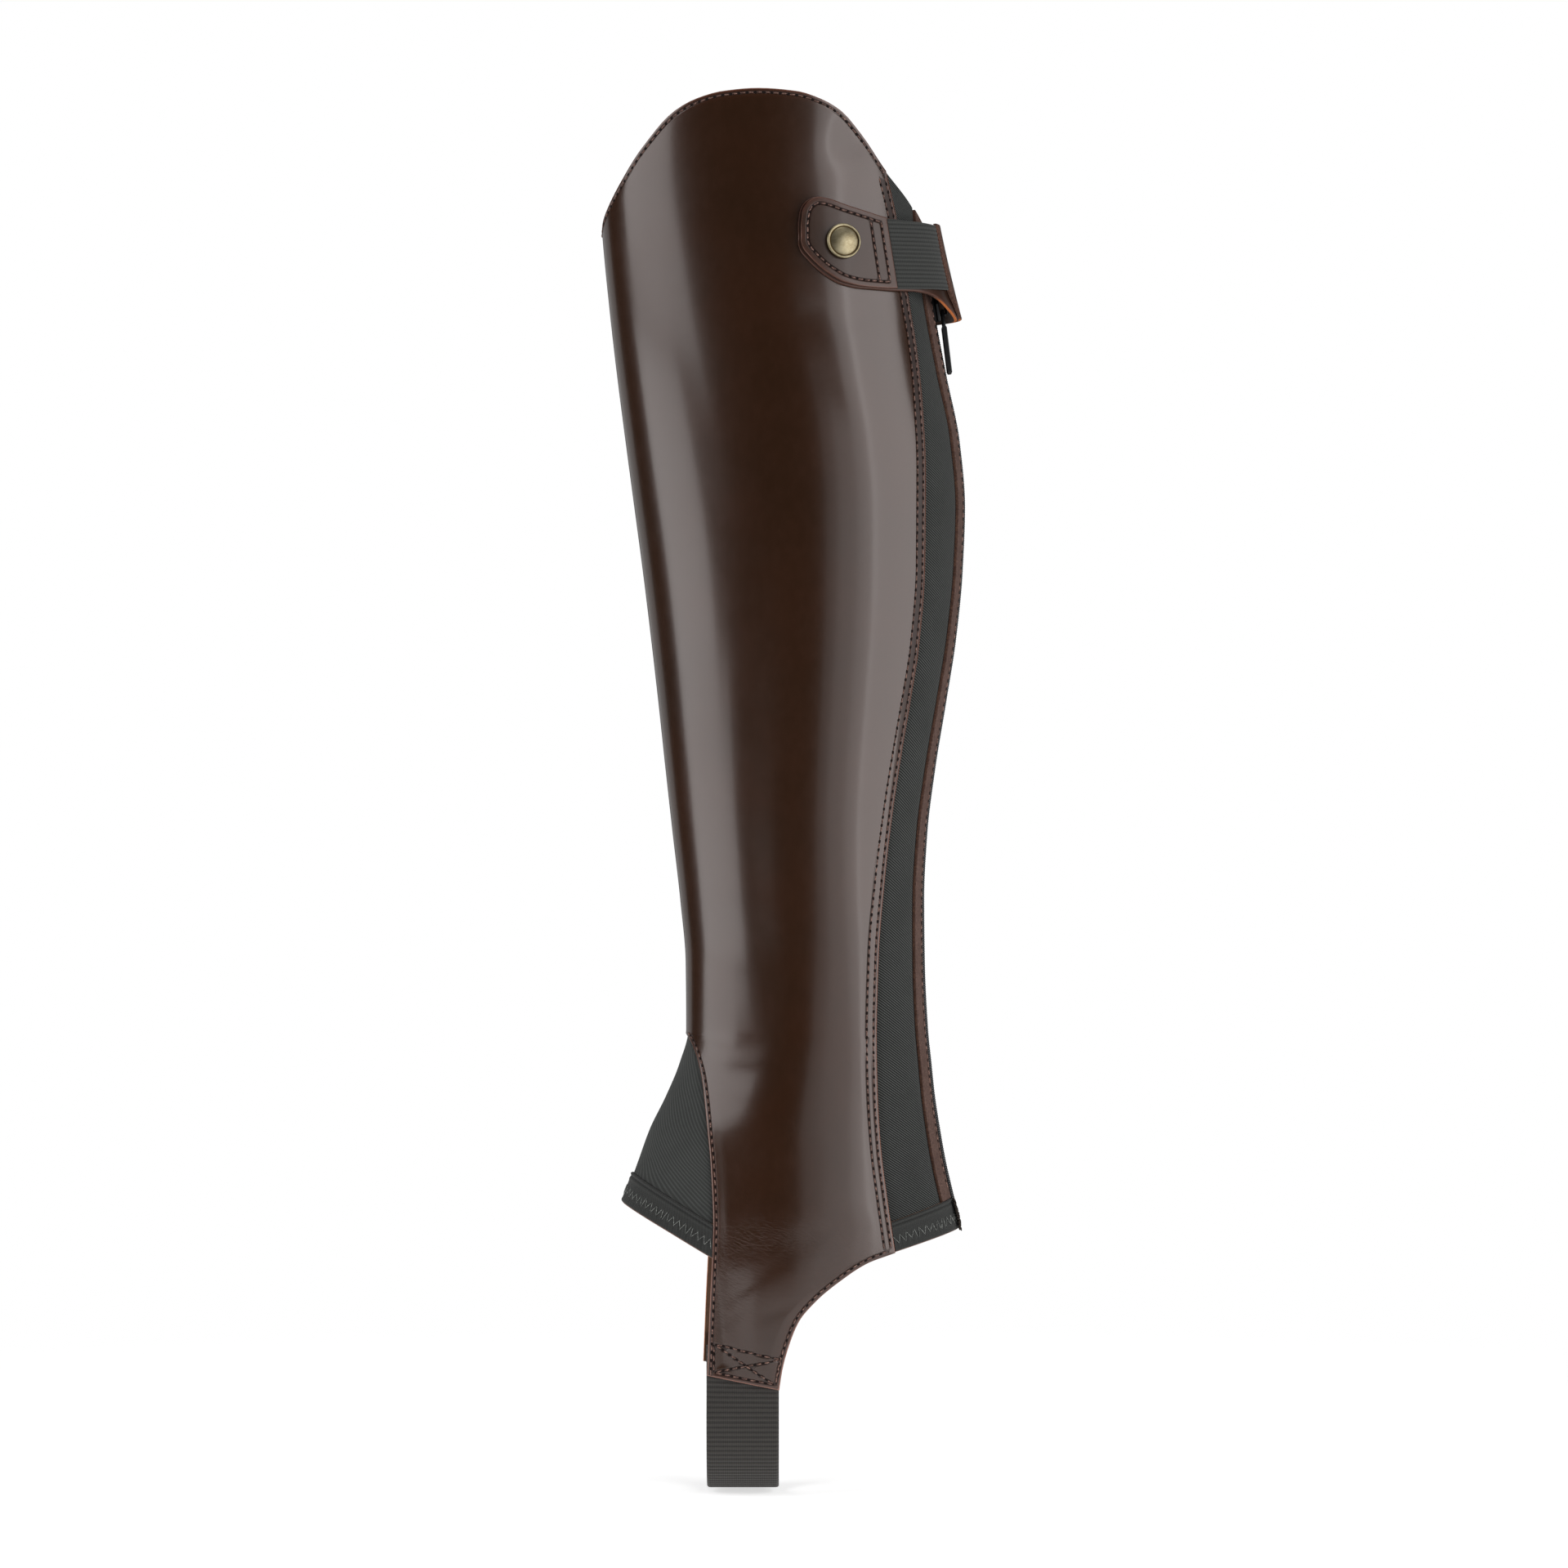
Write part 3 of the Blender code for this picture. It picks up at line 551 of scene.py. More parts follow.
def polished_leather(name="polished_leather", shade=1.0, depth=1.0, border=0.85, raw=0.0, dull=0.0):
    """Smooth waxed leather: dark in the open, redder at the edges, with a fine grain that only breaks the gloss.

    Border is the strength of the light line along a cut edge, raw the width in mm of rough flesh beside the cut end,
    and dull how far the surface has lost its polish.
    """
    tint = (1.0, 0.9, 0.88, 1.0)
    shader = Shader(name, Specular_IOR_Level=0.5 - 0.3 * dull, Specular_Tint=tint, Coat_Roughness=0.13)
    place = shader.place()
    rim = shader.reading("rim")
    sewn = shader.reading("sewn")
    flex = shader.reading("flex")

    def dark(red, green, blue):
        return tone(red * shade, green * shade, blue * shade)

    cloudy = shader.noise(place, 26.0, 4.0).ramp(0.3, 0.72)
    mottled = shader.noise(shader.stretched(place, (1.0, 1.0, 0.6)), 300.0, 3.0).ramp(0.3, 0.8)
    pressed_and_shaded = 1.0 - sewn.ramp(0.25, 0.95)
    colour = shader.mix(cloudy * 0.5, dark(41, 24, 13), dark(51, 29, 17))
    colour = shader.mix(mottled * 0.06, colour, dark(76, 46, 34))
    colour = shader.mix((1.0 - rim.ramp(0.0, 4.5)) * 0.35, colour, dark(84, 48, 36))
    # Painted shade: the leather is darkened near black in the sunk groove along each sewn row, partly the real
    # darkening of pressed leather.
    colour = shader.mix(pressed_and_shaded * 0.8, colour, tone(24, 12, 8))
    colour = shader.mix((1.0 - rim.ramp(0.25, 0.6)) * border, colour, tone(134, 92, 78))
    grain = shader.noise(place, 2600.0, 2.0)
    pores = shader.add("ShaderNodeTexVoronoi", {}, {"Vector": place, "Scale": 900.0}).ramp(0.0, 0.22)
    creases = shader.noise(shader.stretched(place, (1.0, 1.0, 2.2)), 150.0, 5.0, 0.6)
    worn = shader.noise(place, 60.0, 4.0)
    slanting = shader.add(
        "ShaderNodeMapping", {"vector_type": "TEXTURE"}, {"Vector": place, "Rotation": (0, 0.45, 0), "Scale": (5, 1, 1)}
    )
    folds = shader.noise(slanting, 520.0, 4.0, 0.6)
    folds = (folds - 0.5).math("ABSOLUTE").ramp(0.0, 0.09)
    finer = shader.noise(place, 480.0, 4.0, 0.65)
    finer = (finer - 0.5).math("ABSOLUTE").ramp(0.0, 0.07)
    surface = shader.bump(grain + pores * 0.5, 0.000012 * depth, 0.4)
    surface = shader.bump(creases, 0.0001 * depth, 0.3, surface)
    surface = shader.bump((folds * 0.7 + finer * 0.3) * flex, 0.00014, 0.6, surface)
    surface = shader.bump(1.0 - pressed_and_shaded, 0.0003, 0.9, surface)
    roughness = 0.19 + dull * 0.24 + worn * 0.06 + mottled * 0.02 + pressed_and_shaded * 0.3
    gloss = 0.35 * (1.0 - dull) - pressed_and_shaded * 0.3
    if raw:
        fibres = shader.noise(place, 1300.0, 4.0, 0.7)
        flesh = 1.0 - shader.reading("end").ramp(raw * 0.8, raw)
        colour = shader.mix(flesh, colour, shader.mix(fibres.ramp(0.3, 0.7), tone(42, 28, 24), tone(106, 76, 64)))
        surface = shader.bump(fibres * flesh, 0.0004, 0.9, surface)
        roughness = roughness + flesh * 0.5
        gloss = gloss - flesh * 0.4
    return shader.feed(Base_Color=colour, Roughness=roughness, Coat_Weight=gloss.clamp(), Normal=surface)


def raw_edge(name, light, dark, bright=None):
    """The cut edge of the leather, where its lighter fibres show. Past x = 58 mm it takes the bright colour, if any."""
    shader = Shader(name, Roughness=0.75, Specular_IOR_Level=0.25)
    place = shader.place()
    fibres = shader.noise(place, 1500.0, 4.0, 0.7)
    patches = shader.noise(place, 180.0, 2.0)
    colour = shader.mix(fibres.ramp(0.3, 0.7), dark, light)
    colour = shader.mix(patches.ramp(0.35, 0.8) * 0.5, colour, dark)
    if bright:
        x, _, _ = shader.parts(place)
        colour = shader.mix(x.ramp(0.056, 0.061) * (0.55 + fibres * 0.6).clamp(), colour, bright)
    return shader.feed(Base_Color=colour, Normal=shader.bump(fibres, 0.0002, 0.6))


def flesh_side():
    """The leather's suede back, seen inside the leg."""
    shader = Shader("flesh_side", Roughness=0.92, Specular_IOR_Level=0.15, Sheen_Weight=0.25)
    place = shader.place()
    nap = shader.noise(place, 900.0, 5.0, 0.7)
    clouds = shader.noise(place, 35.0, 3.0)
    colour = shader.mix(clouds.ramp(0.3, 0.7), tone(92, 66, 50), tone(112, 82, 62))
    colour = shader.mix(nap.ramp(0.35, 0.75) * 0.35, colour, tone(66, 46, 36))
    return shader.feed(Base_Color=colour, Normal=shader.bump(nap, 0.0002, 0.6))


def twill(name, contrast=1.0):
    """Elastic twill: flat slanting ribs, each broken by its own threads."""
    shader = Shader(name, Roughness=0.88, Specular_IOR_Level=0.25, Sheen_Weight=0.06, Sheen_Roughness=0.5)
    across, up, _ = shader.parts(shader.cut_uv())
    wander = shader.noise(shader.cut_uv(), 60.0, 2.0) * 0.0004
    slant = up + across * 0.62 + wander
    ribs = (slant * (FULL_TURN / 0.00108)).math("SINE") * 0.5 + 0.5
    threads = (across * (FULL_TURN / 0.0007)).math("SINE") * 0.5 + 0.5
    fuzz = shader.noise(shader.cut_uv(), 2500.0, 2.0)
    clouds = shader.noise(shader.cut_uv(), 45.0, 3.0)
    light = ribs.ramp(0.3, 0.95) * (0.6 + threads * 0.4)
    light = light * contrast + (0.5 - 0.5 * contrast)
    colour = shader.mix((light * (0.6 + fuzz * 0.7)).clamp(), tone(16, 17, 16), tone(80, 82, 80))
    colour = shader.mix(clouds.ramp(0.4, 0.8) * 0.3, colour, tone(30, 31, 29))
    height = ribs * (0.7 + threads * 0.3) + fuzz * 0.25
    return shader.feed(Base_Color=colour, Normal=shader.bump(height, 0.00018 * contrast, 0.8))


def knit(name, light, dark, pitch=0.0009, lining=None):
    """Close-woven elastic: small crosswise threads over the piece's own ribs, and any lining shows at its lower edge."""
    shader = Shader(name, Roughness=0.82, Specular_IOR_Level=0.3, Sheen_Weight=0.1)
    across, up, _ = shader.parts(shader.cut_uv())
    one = (across * (FULL_TURN / pitch)).math("SINE") * 0.5 + 0.5
    two = (up * (FULL_TURN / pitch)).math("SINE") * 0.5 + 0.5
    fuzz = shader.noise(shader.cut_uv(), 2200.0, 3.0)
    crown = shader.reading("crown")
    height = one * 0.5 + two * 0.3 + fuzz * 0.4
    # Painted light and shade: the colour is lighter on the crests of the ribs and folds, a painted highlight, and
    # darker in their troughs, painted shade.
    colour = shader.mix((height * 0.45 + crown * 0.6).clamp(), dark, light)
    if lining:
        colour = shader.mix((1.0 - shader.reading("rim").ramp(0.25, 0.6)) * 0.8, colour, lining)
    return shader.feed(Base_Color=colour, Normal=shader.bump(height, 0.00014, 0.7))


def plain_cloth(name, light, dark):
    shader = Shader(name, Roughness=0.88, Specular_IOR_Level=0.2)
    fuzz = shader.noise(shader.place(), 1800.0, 4.0, 0.65)
    colour = shader.mix(fuzz.ramp(0.3, 0.7), dark, light)
    return shader.feed(Base_Color=colour, Normal=shader.bump(fuzz, 0.00015, 0.6))


def sewing_thread(name, light, dark):
    """Twisted thread, with the slant of its plies."""
    shader = Shader(name, Roughness=0.62, Specular_IOR_Level=0.4)
    place = shader.place()
    plies = shader.noise(place, 1600.0, 2.0)
    patches = shader.noise(place, 210.0, 2.0)
    colour = shader.mix(plies.ramp(0.35, 0.7), dark, light)
    colour = shader.mix(patches.ramp(0.45, 0.75) * 0.45, colour, dark)
    return shader.feed(Base_Color=colour, Normal=shader.bump(plies, 0.0001, 0.5))


def lacquered_metal(name):
    shader = Shader(name, Metallic=0.75, Specular_IOR_Level=0.5, Coat_Weight=0.5, Coat_Roughness=0.15)
    place = shader.place()
    scuffs = shader.noise(shader.stretched(place, (1.0, 1.0, 0.25)), 1400.0, 4.0)
    colour = shader.mix(scuffs.ramp(0.55, 0.85) * 0.5, tone(22, 22, 24), tone(70, 68, 66))
    return shader.feed(Base_Color=colour, Roughness=0.28 + scuffs * 0.18, Normal=shader.bump(scuffs, 0.00002, 0.4))


def aged_brass():
    """Brushed pale brass, dark where polish never reaches."""
    shader = Shader("aged_brass", Metallic=1.0)
    place = shader.place()
    rim = shader.reading("groove")
    brushed = shader.noise(shader.stretched(place, (0.15, 1.0, 2.4)), 2400.0, 3.0)
    patches = shader.noise(place, 320.0, 4.0)
    colour = shader.mix(patches.ramp(0.3, 0.75), tone(148, 138, 112), tone(116, 104, 78))
    colour = shader.mix(brushed.ramp(0.4, 0.75) * 0.35, colour, tone(170, 163, 140))
    colour = shader.mix(rim, colour, tone(58, 44, 22))
    return shader.feed(Base_Color=colour, Roughness=0.34 + brushed * 0.16, Normal=shader.bump(brushed, 0.00003, 0.5))


LEATHER_FACE = polished_leather()
FACING_FACE = raw_edge("facing_leather", tone(98, 76, 68), tone(62, 44, 38))
TAB_FACE = polished_leather("tab_leather", 0.95, 2.4, 0.25, dull=0.45)
LINING_FACE = polished_leather("strap_lining", 0.85, 2.4, 0.2, dull=0.7)
STRAP_FACE = polished_leather("strap_leather", 0.9, 2.4, 0.3, raw=6.5, dull=0.8)
LEATHER_EDGE = raw_edge("leather_edge", tone(160, 114, 98), tone(104, 66, 54))
STRAP_EDGE = raw_edge("strap_edge", tone(214, 140, 96), tone(140, 84, 56))
LINING_EDGE = raw_edge("lining_edge", tone(104, 74, 62), tone(58, 38, 30), tone(206, 118, 62))
DARK_EDGE = raw_edge("dark_edge", tone(104, 74, 60), tone(54, 34, 26))
LEATHER_BACK = flesh_side()
STRETCH = twill("black_stretch")
GUSSET = twill("gusset_stretch", 0.35)
WEBBING = knit("ribbed_webbing", tone(63, 60, 57), tone(20, 19, 18))
STRAP_WEBBING = knit("strap_webbing", tone(59, 60, 58), tone(20, 21, 20))
BINDING_CLOTH = knit("hem_binding", tone(50, 51, 49), tone(17, 17, 17), 0.0007, tone(116, 70, 46))
TAPE_CLOTH = plain_cloth("zip_tape", tone(34, 34, 34), tone(14, 14, 14))
FRAYED = plain_cloth("frayed_threads", tone(58, 50, 44), tone(20, 19, 18))
SEAM_THREAD = sewing_thread("seam_thread", tone(142, 108, 96), tone(62, 39, 32))
GREY_THREAD = sewing_thread("grey_thread", tone(136, 138, 134), tone(66, 68, 66))
# Painted shade: a near-black finish for marks that stand for the shade inside the needle holes and along the box
# stitching's grooves.
HOLE_SHADE = plain_cloth("hole_shade", tone(26, 12, 8), tone(10, 4, 3))
BLACK_METAL = lacquered_metal("black_lacquer")
BRASS = aged_brass()


def add_object(name, mesh):
    obj = bpy.data.objects.new(name, mesh)
    bpy.context.scene.collection.objects.link(obj)
    return obj


def settle(obj, body, slot, *nodes):
    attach(obj, body)
    if nodes:
        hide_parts(*nodes)


def sew_in(obj, slot, node):
    """A cloth piece that stands for a node: it joins the chap's body, and the node's own part is hidden."""
    settle(obj, "chap", slot, node)


def point_field(mesh, name, values):
    layer = mesh.attributes.new(name, "FLOAT", "POINT")
    layer.data.foreach_set("value", np.asarray(values, np.float32).ravel())


def shell(name, outer, inner, finishes, uv, rim, sharp=38, **fields):
    """A closed thin wall between two grids of points in mm.

    finishes are the face, the back, and the cut edges at the foot, head, start and end of the grid. uv is the place on
    the flat cut in metres, and rim the distance to the nearest edge in mm. Any further fields are kept on the points,
    such as sewn, the distance to the nearest row of sewing.
    """
    rows, cols = outer.shape[:2]
    count = rows * cols
    points = np.concatenate([outer.reshape(-1, 3), inner.reshape(-1, 3)]) * MM
    index = np.arange(count).reshape(rows, cols)
    a, b, c, d = index[:-1, :-1], index[:-1, 1:], index[1:, 1:], index[1:, :-1]
    face = np.stack([a, b, c, d], -1).reshape(-1, 4)
    back = np.stack([a, d, c, b], -1).reshape(-1, 4) + count

    def strip(line, turned):
        near, far = line[:-1], line[1:]
        quads = np.stack([near, near + count, far + count, far], -1)
        return quads[:, ::-1] if turned else quads

    strips = [strip(index[0], False), strip(index[-1], True), strip(index[:, 0], True), strip(index[:, -1], False)]
    faces = np.concatenate([face, back] + strips)
    mesh = bpy.data.meshes.new(name)
    mesh.from_pydata(points.tolist(), [], faces.tolist())
    used = []
    numbers = []
    for finish, group in zip(finishes, [face, back] + strips):
        if finish not in used:
            used.append(finish)
            mesh.materials.append(finish)
        numbers += [used.index(finish)] * len(group)
    mesh.polygons.foreach_set("material_index", numbers)
    layer = mesh.uv_layers.new(name="cut")
    both = np.concatenate([uv.reshape(-1, 2), uv.reshape(-1, 2)])
    corners = np.empty(len(mesh.loops), np.int32)
    mesh.loops.foreach_get("vertex_index", corners)
    layer.data.foreach_set("uv", both[corners].astype(np.float32).ravel())
    for key, values in {"rim": rim, "sewn": rim * 0 + UNSEWN, **fields}.items():
        point_field(mesh, key, np.concatenate([values.ravel(), values.ravel()]))
    mesh.update()
    mesh.shade_smooth()
    mesh.set_sharp_from_angle(angle=math.radians(sharp))
    return add_object(name, mesh)


def edge_drop(distance, radius=EDGE_ROUND):
    """How far a rounded edge falls away, this far in from it."""
    inside = np.clip(1 - distance / radius, 0, 1)
    return radius * (1 - np.sqrt(1 - inside**2 * 0.96))


def shares(length, edge=(0.0, 0.12, 0.3, 0.55, 1.2), step=3.0):
    """Places along a length, from 0 to 1, close together at both ends."""
    inner = max(int((length - 2 * edge[-1]) / step), 2)
    middle = np.linspace(edge[-1], length - edge[-1], inner + 1)
    near = np.array(edge[:-1])
    return np.concatenate([near, middle, length - near[::-1]]) / length


def cut_lengths(outer):
    """How far each point is round the leg from the first column, and from the last, in mm."""
    steps = np.linalg.norm(np.diff(outer, axis=1), axis=-1)
    zero = np.zeros((outer.shape[0], 1))
    from_start = np.concatenate([zero, np.cumsum(steps, axis=1)], axis=1)
    return from_start, from_start[:, -1:] - from_start


def evenly(points, pitch):
    """Points in mm at an even pitch along a polyline."""
    lengths = np.concatenate([[0], np.cumsum(np.linalg.norm(np.diff(points, axis=0), axis=1))])
    count = max(int(lengths[-1] / pitch), 1)
    at = (np.arange(count) + 0.5) * lengths[-1] / count
    return np.stack([np.interp(at, lengths, points[:, k]) for k in range(points.shape[1])], axis=1)


def nearest(points, lines):
    """How far each point is from the nearest of the sewn lines, in mm."""
    places = np.concatenate([evenly(line, SEWN_STEP) for line in lines])
    tree = KDTree(len(places))
    for number, place in enumerate(places):
        tree.insert(place, number)
    tree.balance()
    found = [tree.find(point)[2] for point in points.reshape(-1, 3)]
    return np.minimum(np.array(found).reshape(points.shape[:-1]), UNSEWN)


def waves(angle, z, ridges):
    """Soft troughs or ridges. Each row of ridges is degrees, z, width mm, length mm, slant, and height mm."""
    total = np.zeros(np.broadcast(angle, z).shape)
    for degrees, at_z, width, length, slant, height in ridges:
        around = (angle - math.radians(degrees)) * pace(math.radians(degrees), at_z)
        up = z - at_z
        along = around * math.cos(slant) + up * math.sin(slant)
        across = -around * math.sin(slant) + up * math.cos(slant)
        total = total + height * np.exp(-((along / length) ** 2) - (across / width) ** 2)
    return total


def beside(angles, heights, inset):
    """The same line moved sideways over the form by inset mm, to its left as it runs."""
    around = np.gradient(angles) * pace(angles, heights)
    up = np.gradient(heights)
    length = np.hypot(around, up)
    return angles - up / length * inset / pace(angles, heights), heights + around / length * inset


def seam_line(edge, low, high, inset):
    z = np.linspace(low, high, 240)
    return beside(edge(z), z, inset)


def head_line(first, last, inset):
    angle = np.linspace(first, last, 200)
    return beside(angle, head_at(angle), inset)


def cross_box(mirror):
    """The box and cross that hold the boot elastic on a tongue."""
    corners = [(-34.2, -352.5), (-34.2, -364.2), (-8.8, -368.9), (-6.4, -358.2)]
    lines = []
    for first, last in [(0, 1), (1, 2), (2, 3), (3, 0), (0, 2), (1, 3)]:
        t = np.linspace(0.02, 0.98, 12)
        x = corners[first][0] + (corners[last][0] - corners[first][0]) * t
        z = corners[first][1] + (corners[last][1] - corners[first][1]) * t
        if mirror:
            x = x - INNER_TONGUE_FORWARD
        angle = side_angle(x, z)
        lines.append((FULL_TURN - angle if mirror else angle, z))
    return lines


def outer_lines():
    return [
        seam_line(back_of_outer, HEEL_CORNER + 2.5, 128.0, 1.9),
        seam_line(back_of_outer, HEEL_CORNER + 2.5, 128.0, 4.9),
        head_line(math.radians(FRONT_SEAM_DEGREES + 2), float(back_of_outer(np.array(129.0))), -1.8),
        seam_line(front_of_outer, -366.0, GUSSET_TOP - 1.0, -1.7),
        seam_line(back_of_outer, -367.0, HEEL_CORNER - 1.0, 1.9),
        *cross_box(False),
    ]


def inner_lines():
    return [
        seam_line(zip_side_of_inner, -294.0, 104.0, -1.9),
        seam_line(zip_side_of_inner, -294.0, 104.0, -4.6),
        seam_line(zip_side_of_inner, -367.0, HEEL_CORNER - 1.0, -1.9),
        seam_line(front_of_inner, -366.0, GUSSET_TOP - 1.0, 1.7),
        head_line(float(zip_side_of_inner(np.array(100.0))) + 0.05, FULL_TURN - 0.1, -1.8),
        *cross_box(True),
    ]


def facing_lines():
    return [seam_line(zip_edge, -290.0, 104.0, 2.2)]


def row_heights(kind, at, z, heights, low, high):
    """Rows of kind 0 follow the piece's lower end, rows of kind 2 its upper end, and those between stay level."""
    z = np.where(kind == 2, heights[-1] + (high - heights[-1]) * at, z)
    return np.where(kind == 0, low + (heights[0] - low) * at, z)


def panel(name, start, end, foot, head, heights, finishes, step, lines, relief=None):
    """A leather piece between two seams, with rounded edges, on the form. lines are where it is sewn."""
    rows = [(0, k) for k in np.concatenate([[0, 0.012, 0.03, 0.06, 0.12], np.linspace(0.2, 0.9, 6)])]
    rows += [(1, z) for z in heights]
    rows += [(2, k) for k in np.concatenate([np.linspace(0.06, 0.9, 18), [0.95, 0.975, 0.988, 0.995, 1.0]])]
    kind = np.array([row[0] for row in rows])[:, None]
    at = np.array([row[1] for row in rows], float)[:, None]
    middle = float(heights[len(heights) // 2])
    girth = float((end(np.array(middle)) - start(np.array(middle))) * pace(float(start(np.array(middle))) + 1, middle))
    u = shares(girth, step=step)[None, :]
    z = np.where(kind == 0, heights[0], np.where(kind == 2, heights[-1], at)) + 0 * u
    half = SEAM_GAP / 2
    for _ in range(9):
        first = start(z) + half / pace(start(z), z)
        last = end(z) - half / pace(end(z), z)
        angle = first + (last - first) * u
        z = row_heights(kind, at, z, heights, foot(angle), head(angle))
    flat = off_form(angle, z, np.zeros_like(z))
    from_start, from_end = cut_lengths(flat)
    from_foot = np.where(kind == 0, z - foot(angle), 99.0)
    from_head = np.where(kind == 2, head(angle) - z, 99.0)
    rim = np.minimum(np.minimum(from_start, from_end), np.minimum(from_foot, from_head))
    rise = -edge_drop(rim)
    if relief is not None:
        rise = rise + relief(angle, z) * np.clip(rim / 6, 0, 1)
    outer = off_form(angle, z, rise)
    inner = off_form(angle, z, rise * 0 - LEATHER)
    uv = np.stack([angle * 0.05, z * MM], -1)
    sewn = nearest(flat, [off_form(*line, np.zeros(len(line[0]))) for line in lines])
    flex = np.clip(waves(np.where(angle > math.pi, FULL_TURN - angle, angle), z, FLEXED), 0, 1)
    return shell(name, outer, inner, finishes, uv, rim, sewn=sewn, flex=flex)


def levels(start, end, *fine):
    """Heights from start to end. Each entry of fine is a height to end at and the step up to it."""
    made = [float(start)]
    for limit, step in fine:
        count = max(int(round((limit - made[-1]) / step)), 1)
        made += list(np.linspace(made[-1], limit, count + 1)[1:])
    return np.array([z for z in made if z <= end])


ANKLE_WAVES = (
    # degrees, z, width, length, slant, height
    (85, -321, 4.6, 14, 0.5, -0.16),
    (78, -330, 3.0, 10, 0.6, -0.12),
    (89, -338, 3.4, 11, 0.35, -0.12),
    (75, -341, 2.4, 9, 0.55, -0.09),
    (95, -309, 6.0, 20, 0.25, -0.25),
    (66, -300, 8.0, 18, 0.35, 0.22),
    (110, -296, 8.0, 22, -0.2, 0.22),
    (84, -280, 12.0, 26, 0.15, -0.2),
)
FLEXED = (
    (62, -334, 16, 17, 0.0, 1.0),
    (84, -308, 9, 34, 0.0, 0.45),
    (40, -240, 9, 12, 0.0, 0.5),
)
LEG_WAVES = (
    (82, -255, 17, 60, 1.571, 2.4),
    (88, -335, 18, 55, 1.571, 2.0),
    (110, -295, 22, 80, 1.45, 1.6),
    (66, -335, 9, 45, 1.9, -1.5),
    (70, -170, 24, 60, 1.4, 0.4),
    (104, -120, 26, 70, 1.5, -0.5),
    (84, -40, 30, 80, 1.55, 0.45),
    (60, 40, 22, 60, 1.45, -0.5),
    (112, 30, 24, 60, 1.6, 0.4),
    (96, 96, 16, 40, 1.3, 0.4),
    (126, 143, 7, 11, 0.8, -0.9),
    (134, 132, 6, 10, 0.5, 0.5),
    (108, 120, 12, 30, 0.4, -0.35),
    (40, 118, 14, 26, 1.2, 0.35),
    (120, 70, 7, 22, 0.1, -0.35),
)


def outer_relief(angle, z):
    return waves(angle, z, ANKLE_WAVES) + waves(angle, z, LEG_WAVES)


def inner_relief(angle, z):
    mirrored = FULL_TURN - angle
    return waves(mirrored + 0.1, z + 5, ANKLE_WAVES) + waves(mirrored - 0.12, z - 11, LEG_WAVES) * 0.9


PANEL_LEVELS = levels(
    -360, 96, (-344, 1.6), (-330, 1.2), (-312, 0.6), (-300, 1.2), (-244, 1.8), (-236, 1.0), (-222, 0.5), (-212, 1.2),
    (96, 2.6),
)


def make_leather():
    everywhere = [LEATHER_FACE, LEATHER_BACK, LEATHER_EDGE, LEATHER_EDGE, DARK_EDGE, LEATHER_EDGE]
    outer = panel(
        "outer_leather", front_of_outer, back_of_outer, tongue_foot, head_at, PANEL_LEVELS, everywhere, 2.0,
        outer_lines(), relief=outer_relief,
    )
    sew_in(outer, "brown_leather", "outer_panel")
    coarse = levels(
        -360, 88, (-344, 1.6), (-330, 1.2), (-304, 0.7), (-244, 2.2), (-236, 1.0), (-222, 0.6), (-212, 1.5), (88, 3.4)
    )
    inner = panel(
        "inner_leather", zip_side_of_inner, front_of_inner, tongue_foot, head_at, coarse,
        [LEATHER_FACE, LEATHER_BACK, LEATHER_EDGE, LEATHER_EDGE, LEATHER_EDGE, STRAP_EDGE], 2.4, inner_lines(),
        relief=inner_relief,
    )
    sew_in(inner, "brown_leather", "inner_panel")
    facing = panel(
        "facing_leather", facing_seam, zip_edge, heel_hem_top, head_at, levels(-284, 96, (96, 3.0)),
        [FACING_FACE, LEATHER_BACK, DARK_EDGE, DARK_EDGE, DARK_EDGE, DARK_EDGE], 0.8, facing_lines(),
    )
    sew_in(facing, "brown_leather", "zip_facing")


def tucked(name, start, end, foot, head, heights, finish, across):
    """Elastic that lies a little lower than the leather and runs on under its edges."""
    t = np.linspace(0, 1, across + 1)[None, :]
    kind = np.array([0] * 5 + [1] * len(heights) + [2] * 8)[:, None]
    at = np.concatenate([np.linspace(0, 0.85, 5), heights, np.linspace(0.1, 1, 8)])[:, None]
    z = np.where(kind == 0, heights[0], np.where(kind == 2, heights[-1], at)) + 0 * t
    for _ in range(9):
        first = start(z) - TUCK / pace(start(z), z)
        last = end(z) + TUCK / pace(end(z), z)
        angle = first + (last - first) * t
        z = row_heights(kind, at, z, heights, foot(angle), head(angle))
    flat = off_form(angle, z, np.zeros_like(z))
    from_start, from_end = cut_lengths(flat)
    near = np.minimum(from_start, from_end)
    dip = np.clip((TUCK + 2.2 - near) / 2.2, 0, 1)
    rise = -ELASTIC_SUNK - (TUCKED_SUNK - ELASTIC_SUNK) * dip * dip * (3 - 2 * dip)
    outer = off_form(angle, z, rise)
    inner = off_form(angle, z, rise - ELASTIC)
    uv = np.stack([from_start * MM, z * MM], -1)
    return shell(name, outer, inner, [finish] * 6, uv, near, crown=np.zeros_like(z) + 0.5)


def make_elastics():
    strip = tucked(
        "stretch_twill", back_of_outer, facing_seam, heel_hem_top, head_at, levels(-280, 100, (100, 3.0)), STRETCH, 24
    )
    sew_in(strip, "black_stretch", "stretch_panel")
    heights = levels(-278, GUSSET_TOP - 4, (GUSSET_TOP - 14, 1.6), (GUSSET_TOP - 4, 0.7))

    def gusset_head(angle):
        return 0 * angle + GUSSET_TOP - 1.0

    wedge = tucked(
        "gusset_twill", inner_gusset_angle, front_of_outer, front_hem_top, gusset_head, heights, GUSSET, 44
    )
    sew_in(wedge, "black_stretch", "ankle_gusset")


